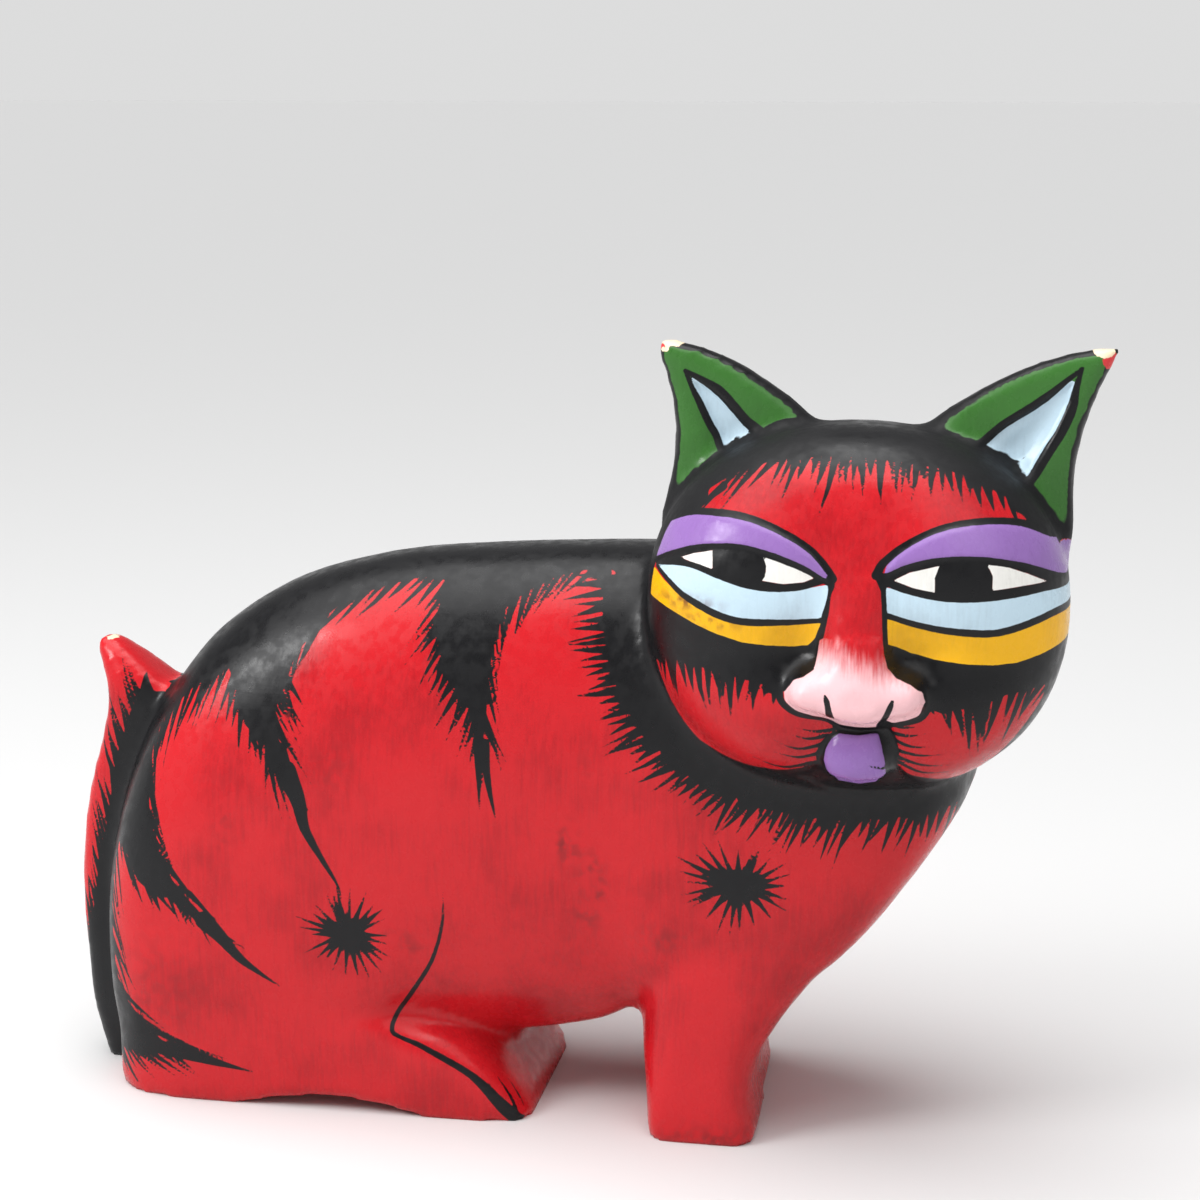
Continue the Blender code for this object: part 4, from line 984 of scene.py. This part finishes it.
def buildPaint():
    material = bpy.data.materials.new("hand_painted_paper")
    material.use_nodes = True
    tree = material.node_tree
    shader = tree.nodes["Principled BSDF"]
    weave = add(tree, "ShaderNodeGroup", node_tree=brushWeave)
    streaks = add(tree, "ShaderNodeGroup", node_tree=hairStreaks)

    def blend(a, b, factor, kind="MIX"):
        mix = add(tree, "ShaderNodeMix", data_type="RGBA", blend_type=kind)
        for label, value in (("A", a), ("B", b), ("Factor", factor)):
            if isinstance(value, (tuple, float)):
                mix.inputs[label].default_value = value
            else:
                tree.links.new(value, mix.inputs[label])
        return mix.outputs["Result"]

    def field(name):
        return add(tree, "ShaderNodeAttribute", attribute_name=name).outputs["Fac"]

    clouds = stretch(tree, weave.outputs["Tone"], *finish["cloudRed"])
    colour = blend(paints["redShade"], paints["red"], clouds)
    ragged = sums(tree, "MULTIPLY", streaks.outputs["Streak"], finish["streaks"])
    fade = stretch(tree, sums(tree, "ADD", field("noseFade"), ragged), 0.0, 1.0)
    pink = blend(colour, paints["nosePink"], fade)
    for name in ("nosePink", "earGreen", "lidPurple", "skyBlue", "warmYellow", "eyeWhite"):
        layer = add(tree, "ShaderNodeGroup", node_tree=paintLayer)
        tree.links.new(field(name), layer.inputs["Distance"])
        tree.links.new(colour, layer.inputs["Under"])
        if name == "nosePink":
            tree.links.new(pink, layer.inputs["Paint"])
        else:
            layer.inputs["Paint"].default_value = paints[name]
        colour = layer.outputs["Color"]
    # darkens the colour under the scuffs and the painted shade on the lower rump, broken up by blotches
    scuffShadeBreakup = stretch(tree, weave.outputs["Blotches"], *finish["scuffShadeShow"])
    colour = blend(colour, paints["scuffAndShadeDark"], sums(tree, "MULTIPLY", field("scuffAndShade"), scuffShadeBreakup))
    darker = stretch(tree, weave.outputs["Tone"], *finish["cloudTone"], 1.0, 0.0)
    colour = blend(colour, finish["toneDown"], darker, "MULTIPLY")
    for name in ("inkBlack", "bareRed", "bareCreamAndHighlight"):
        layer = add(tree, "ShaderNodeGroup", node_tree=paintLayer)
        tree.links.new(field(name), layer.inputs["Distance"])
        tree.links.new(colour, layer.inputs["Under"])
        layer.inputs["Paint"].default_value = paints[name]
        layer.inputs["Waver"].default_value = finish["inkWaver" if name == "inkBlack" else "chipWaver"]
        colour = layer.outputs["Color"]
        if name == "inkBlack":
            inkMask = layer.outputs["Mask"]
    tree.links.new(colour, shader.inputs["Base Color"])
    dull = sums(tree, "MULTIPLY_ADD", field("dullBlack"), finish["inkDull"], finish["inkRough"])
    uneven = stretch(tree, weave.outputs["Blotches"], *finish["grimeRough"], *finish["rough"])
    tree.links.new(sums(tree, "MULTIPLY_ADD", inkMask, dull, uneven), shader.inputs["Roughness"])
    shader.inputs["Specular IOR Level"].default_value = finish["specular"]
    bump = add(tree, "ShaderNodeBump")
    bump.inputs["Strength"].default_value = finish["bump"]
    bump.inputs["Distance"].default_value = finish["bumpDepth"]
    height = sums(tree, "ADD", weave.outputs["Height"], sums(tree, "MULTIPLY", inkMask, finish["inkHeight"]))
    tree.links.new(height, bump.inputs["Height"])
    tree.links.new(bump.outputs["Normal"], shader.inputs["Normal"])
    return material


mesh.materials.append(buildPaint())
print("paint ready")

# Floor, light and camera; the world is pale near the horizon, where the floor ends
stage = {"half": 40.0, "paper": (0.66, 0.66, 0.66, 1), "pale": (0.12, 0.34), "glow": (0.72, 0.28)}
corners = [(x * stage["half"], y * stage["half"], 0.0) for x, y in ((-1, -1), (1, -1), (1, 1), (-1, 1))]
floorMesh = bpy.data.meshes.new("studioFloor")
floorMesh.from_pydata(corners, [], [(0, 1, 2, 3)])
floor = placed("studioFloor", floorMesh)
floorPaint = bpy.data.materials.new("studioPaper")
floorPaint.use_nodes = True
floorPaint.node_tree.nodes["Principled BSDF"].inputs["Base Color"].default_value = stage["paper"]
floorPaint.node_tree.nodes["Principled BSDF"].inputs["Roughness"].default_value = 0.9
floorMesh.materials.append(floorPaint)

bpy.context.scene.view_settings.view_transform = "Standard"
world = bpy.data.worlds.new("studio")
bpy.context.scene.world = world
world.use_nodes = True
world.node_tree.nodes["Background"].inputs["Color"].default_value = (1, 1, 1, 1)
rise = add(world.node_tree, "ShaderNodeSeparateXYZ")
world.node_tree.links.new(add(world.node_tree, "ShaderNodeTexCoord").outputs["Generated"], rise.inputs[0])
glow = stretch(world.node_tree, rise.outputs["Z"], *stage["pale"], *stage["glow"])
world.node_tree.links.new(glow, world.node_tree.nodes["Background"].inputs["Strength"])

softLights = {
    "keySoftbox": {"at": (-0.95, -0.64, 0.88), "size": 0.44, "power": 9.5},
    "fillSoftbox": {"at": (0.75, -0.75, 1.25), "size": 0.9, "power": 3.5},
    "topSoftbox": {"at": (0.10, -0.05, 1.5), "size": 1.0, "power": 5.0},
}
for name, values in softLights.items():
    lamp = bpy.data.lights.new(name, "AREA")
    lamp.size = values["size"]
    lamp.energy = values["power"]
    holder = placed(name, lamp)
    holder.location = values["at"]
    aim = Vector((0.0, 0.0, 0.14)) - holder.location
    holder.rotation_euler = aim.to_track_quat("-Z", "Y").to_euler()
windowLight = {"energy": 2.5, "degrees": 60, "aim": (0.20, 0.12, -1.0)}
window = bpy.data.lights.new("wideWindow", "SUN")
window.energy = windowLight["energy"]
window.angle = math.radians(windowLight["degrees"])
placed("wideWindow", window).rotation_euler = Vector(windowLight["aim"]).to_track_quat("-Z", "Y").to_euler()

view = {"lens": 72.96, "sensor": 36.0, "at": (0.16871, -0.83677, 0.37447), "degrees": (77.9, 0.0, 10.5)}
camera = bpy.data.cameras.new("studioCamera")
camera.lens = view["lens"]
camera.sensor_width = view["sensor"]
viewer = placed("studioCamera", camera)
viewer.location = view["at"]
viewer.rotation_euler = [math.radians(degrees) for degrees in view["degrees"]]
bpy.context.scene.camera = viewer
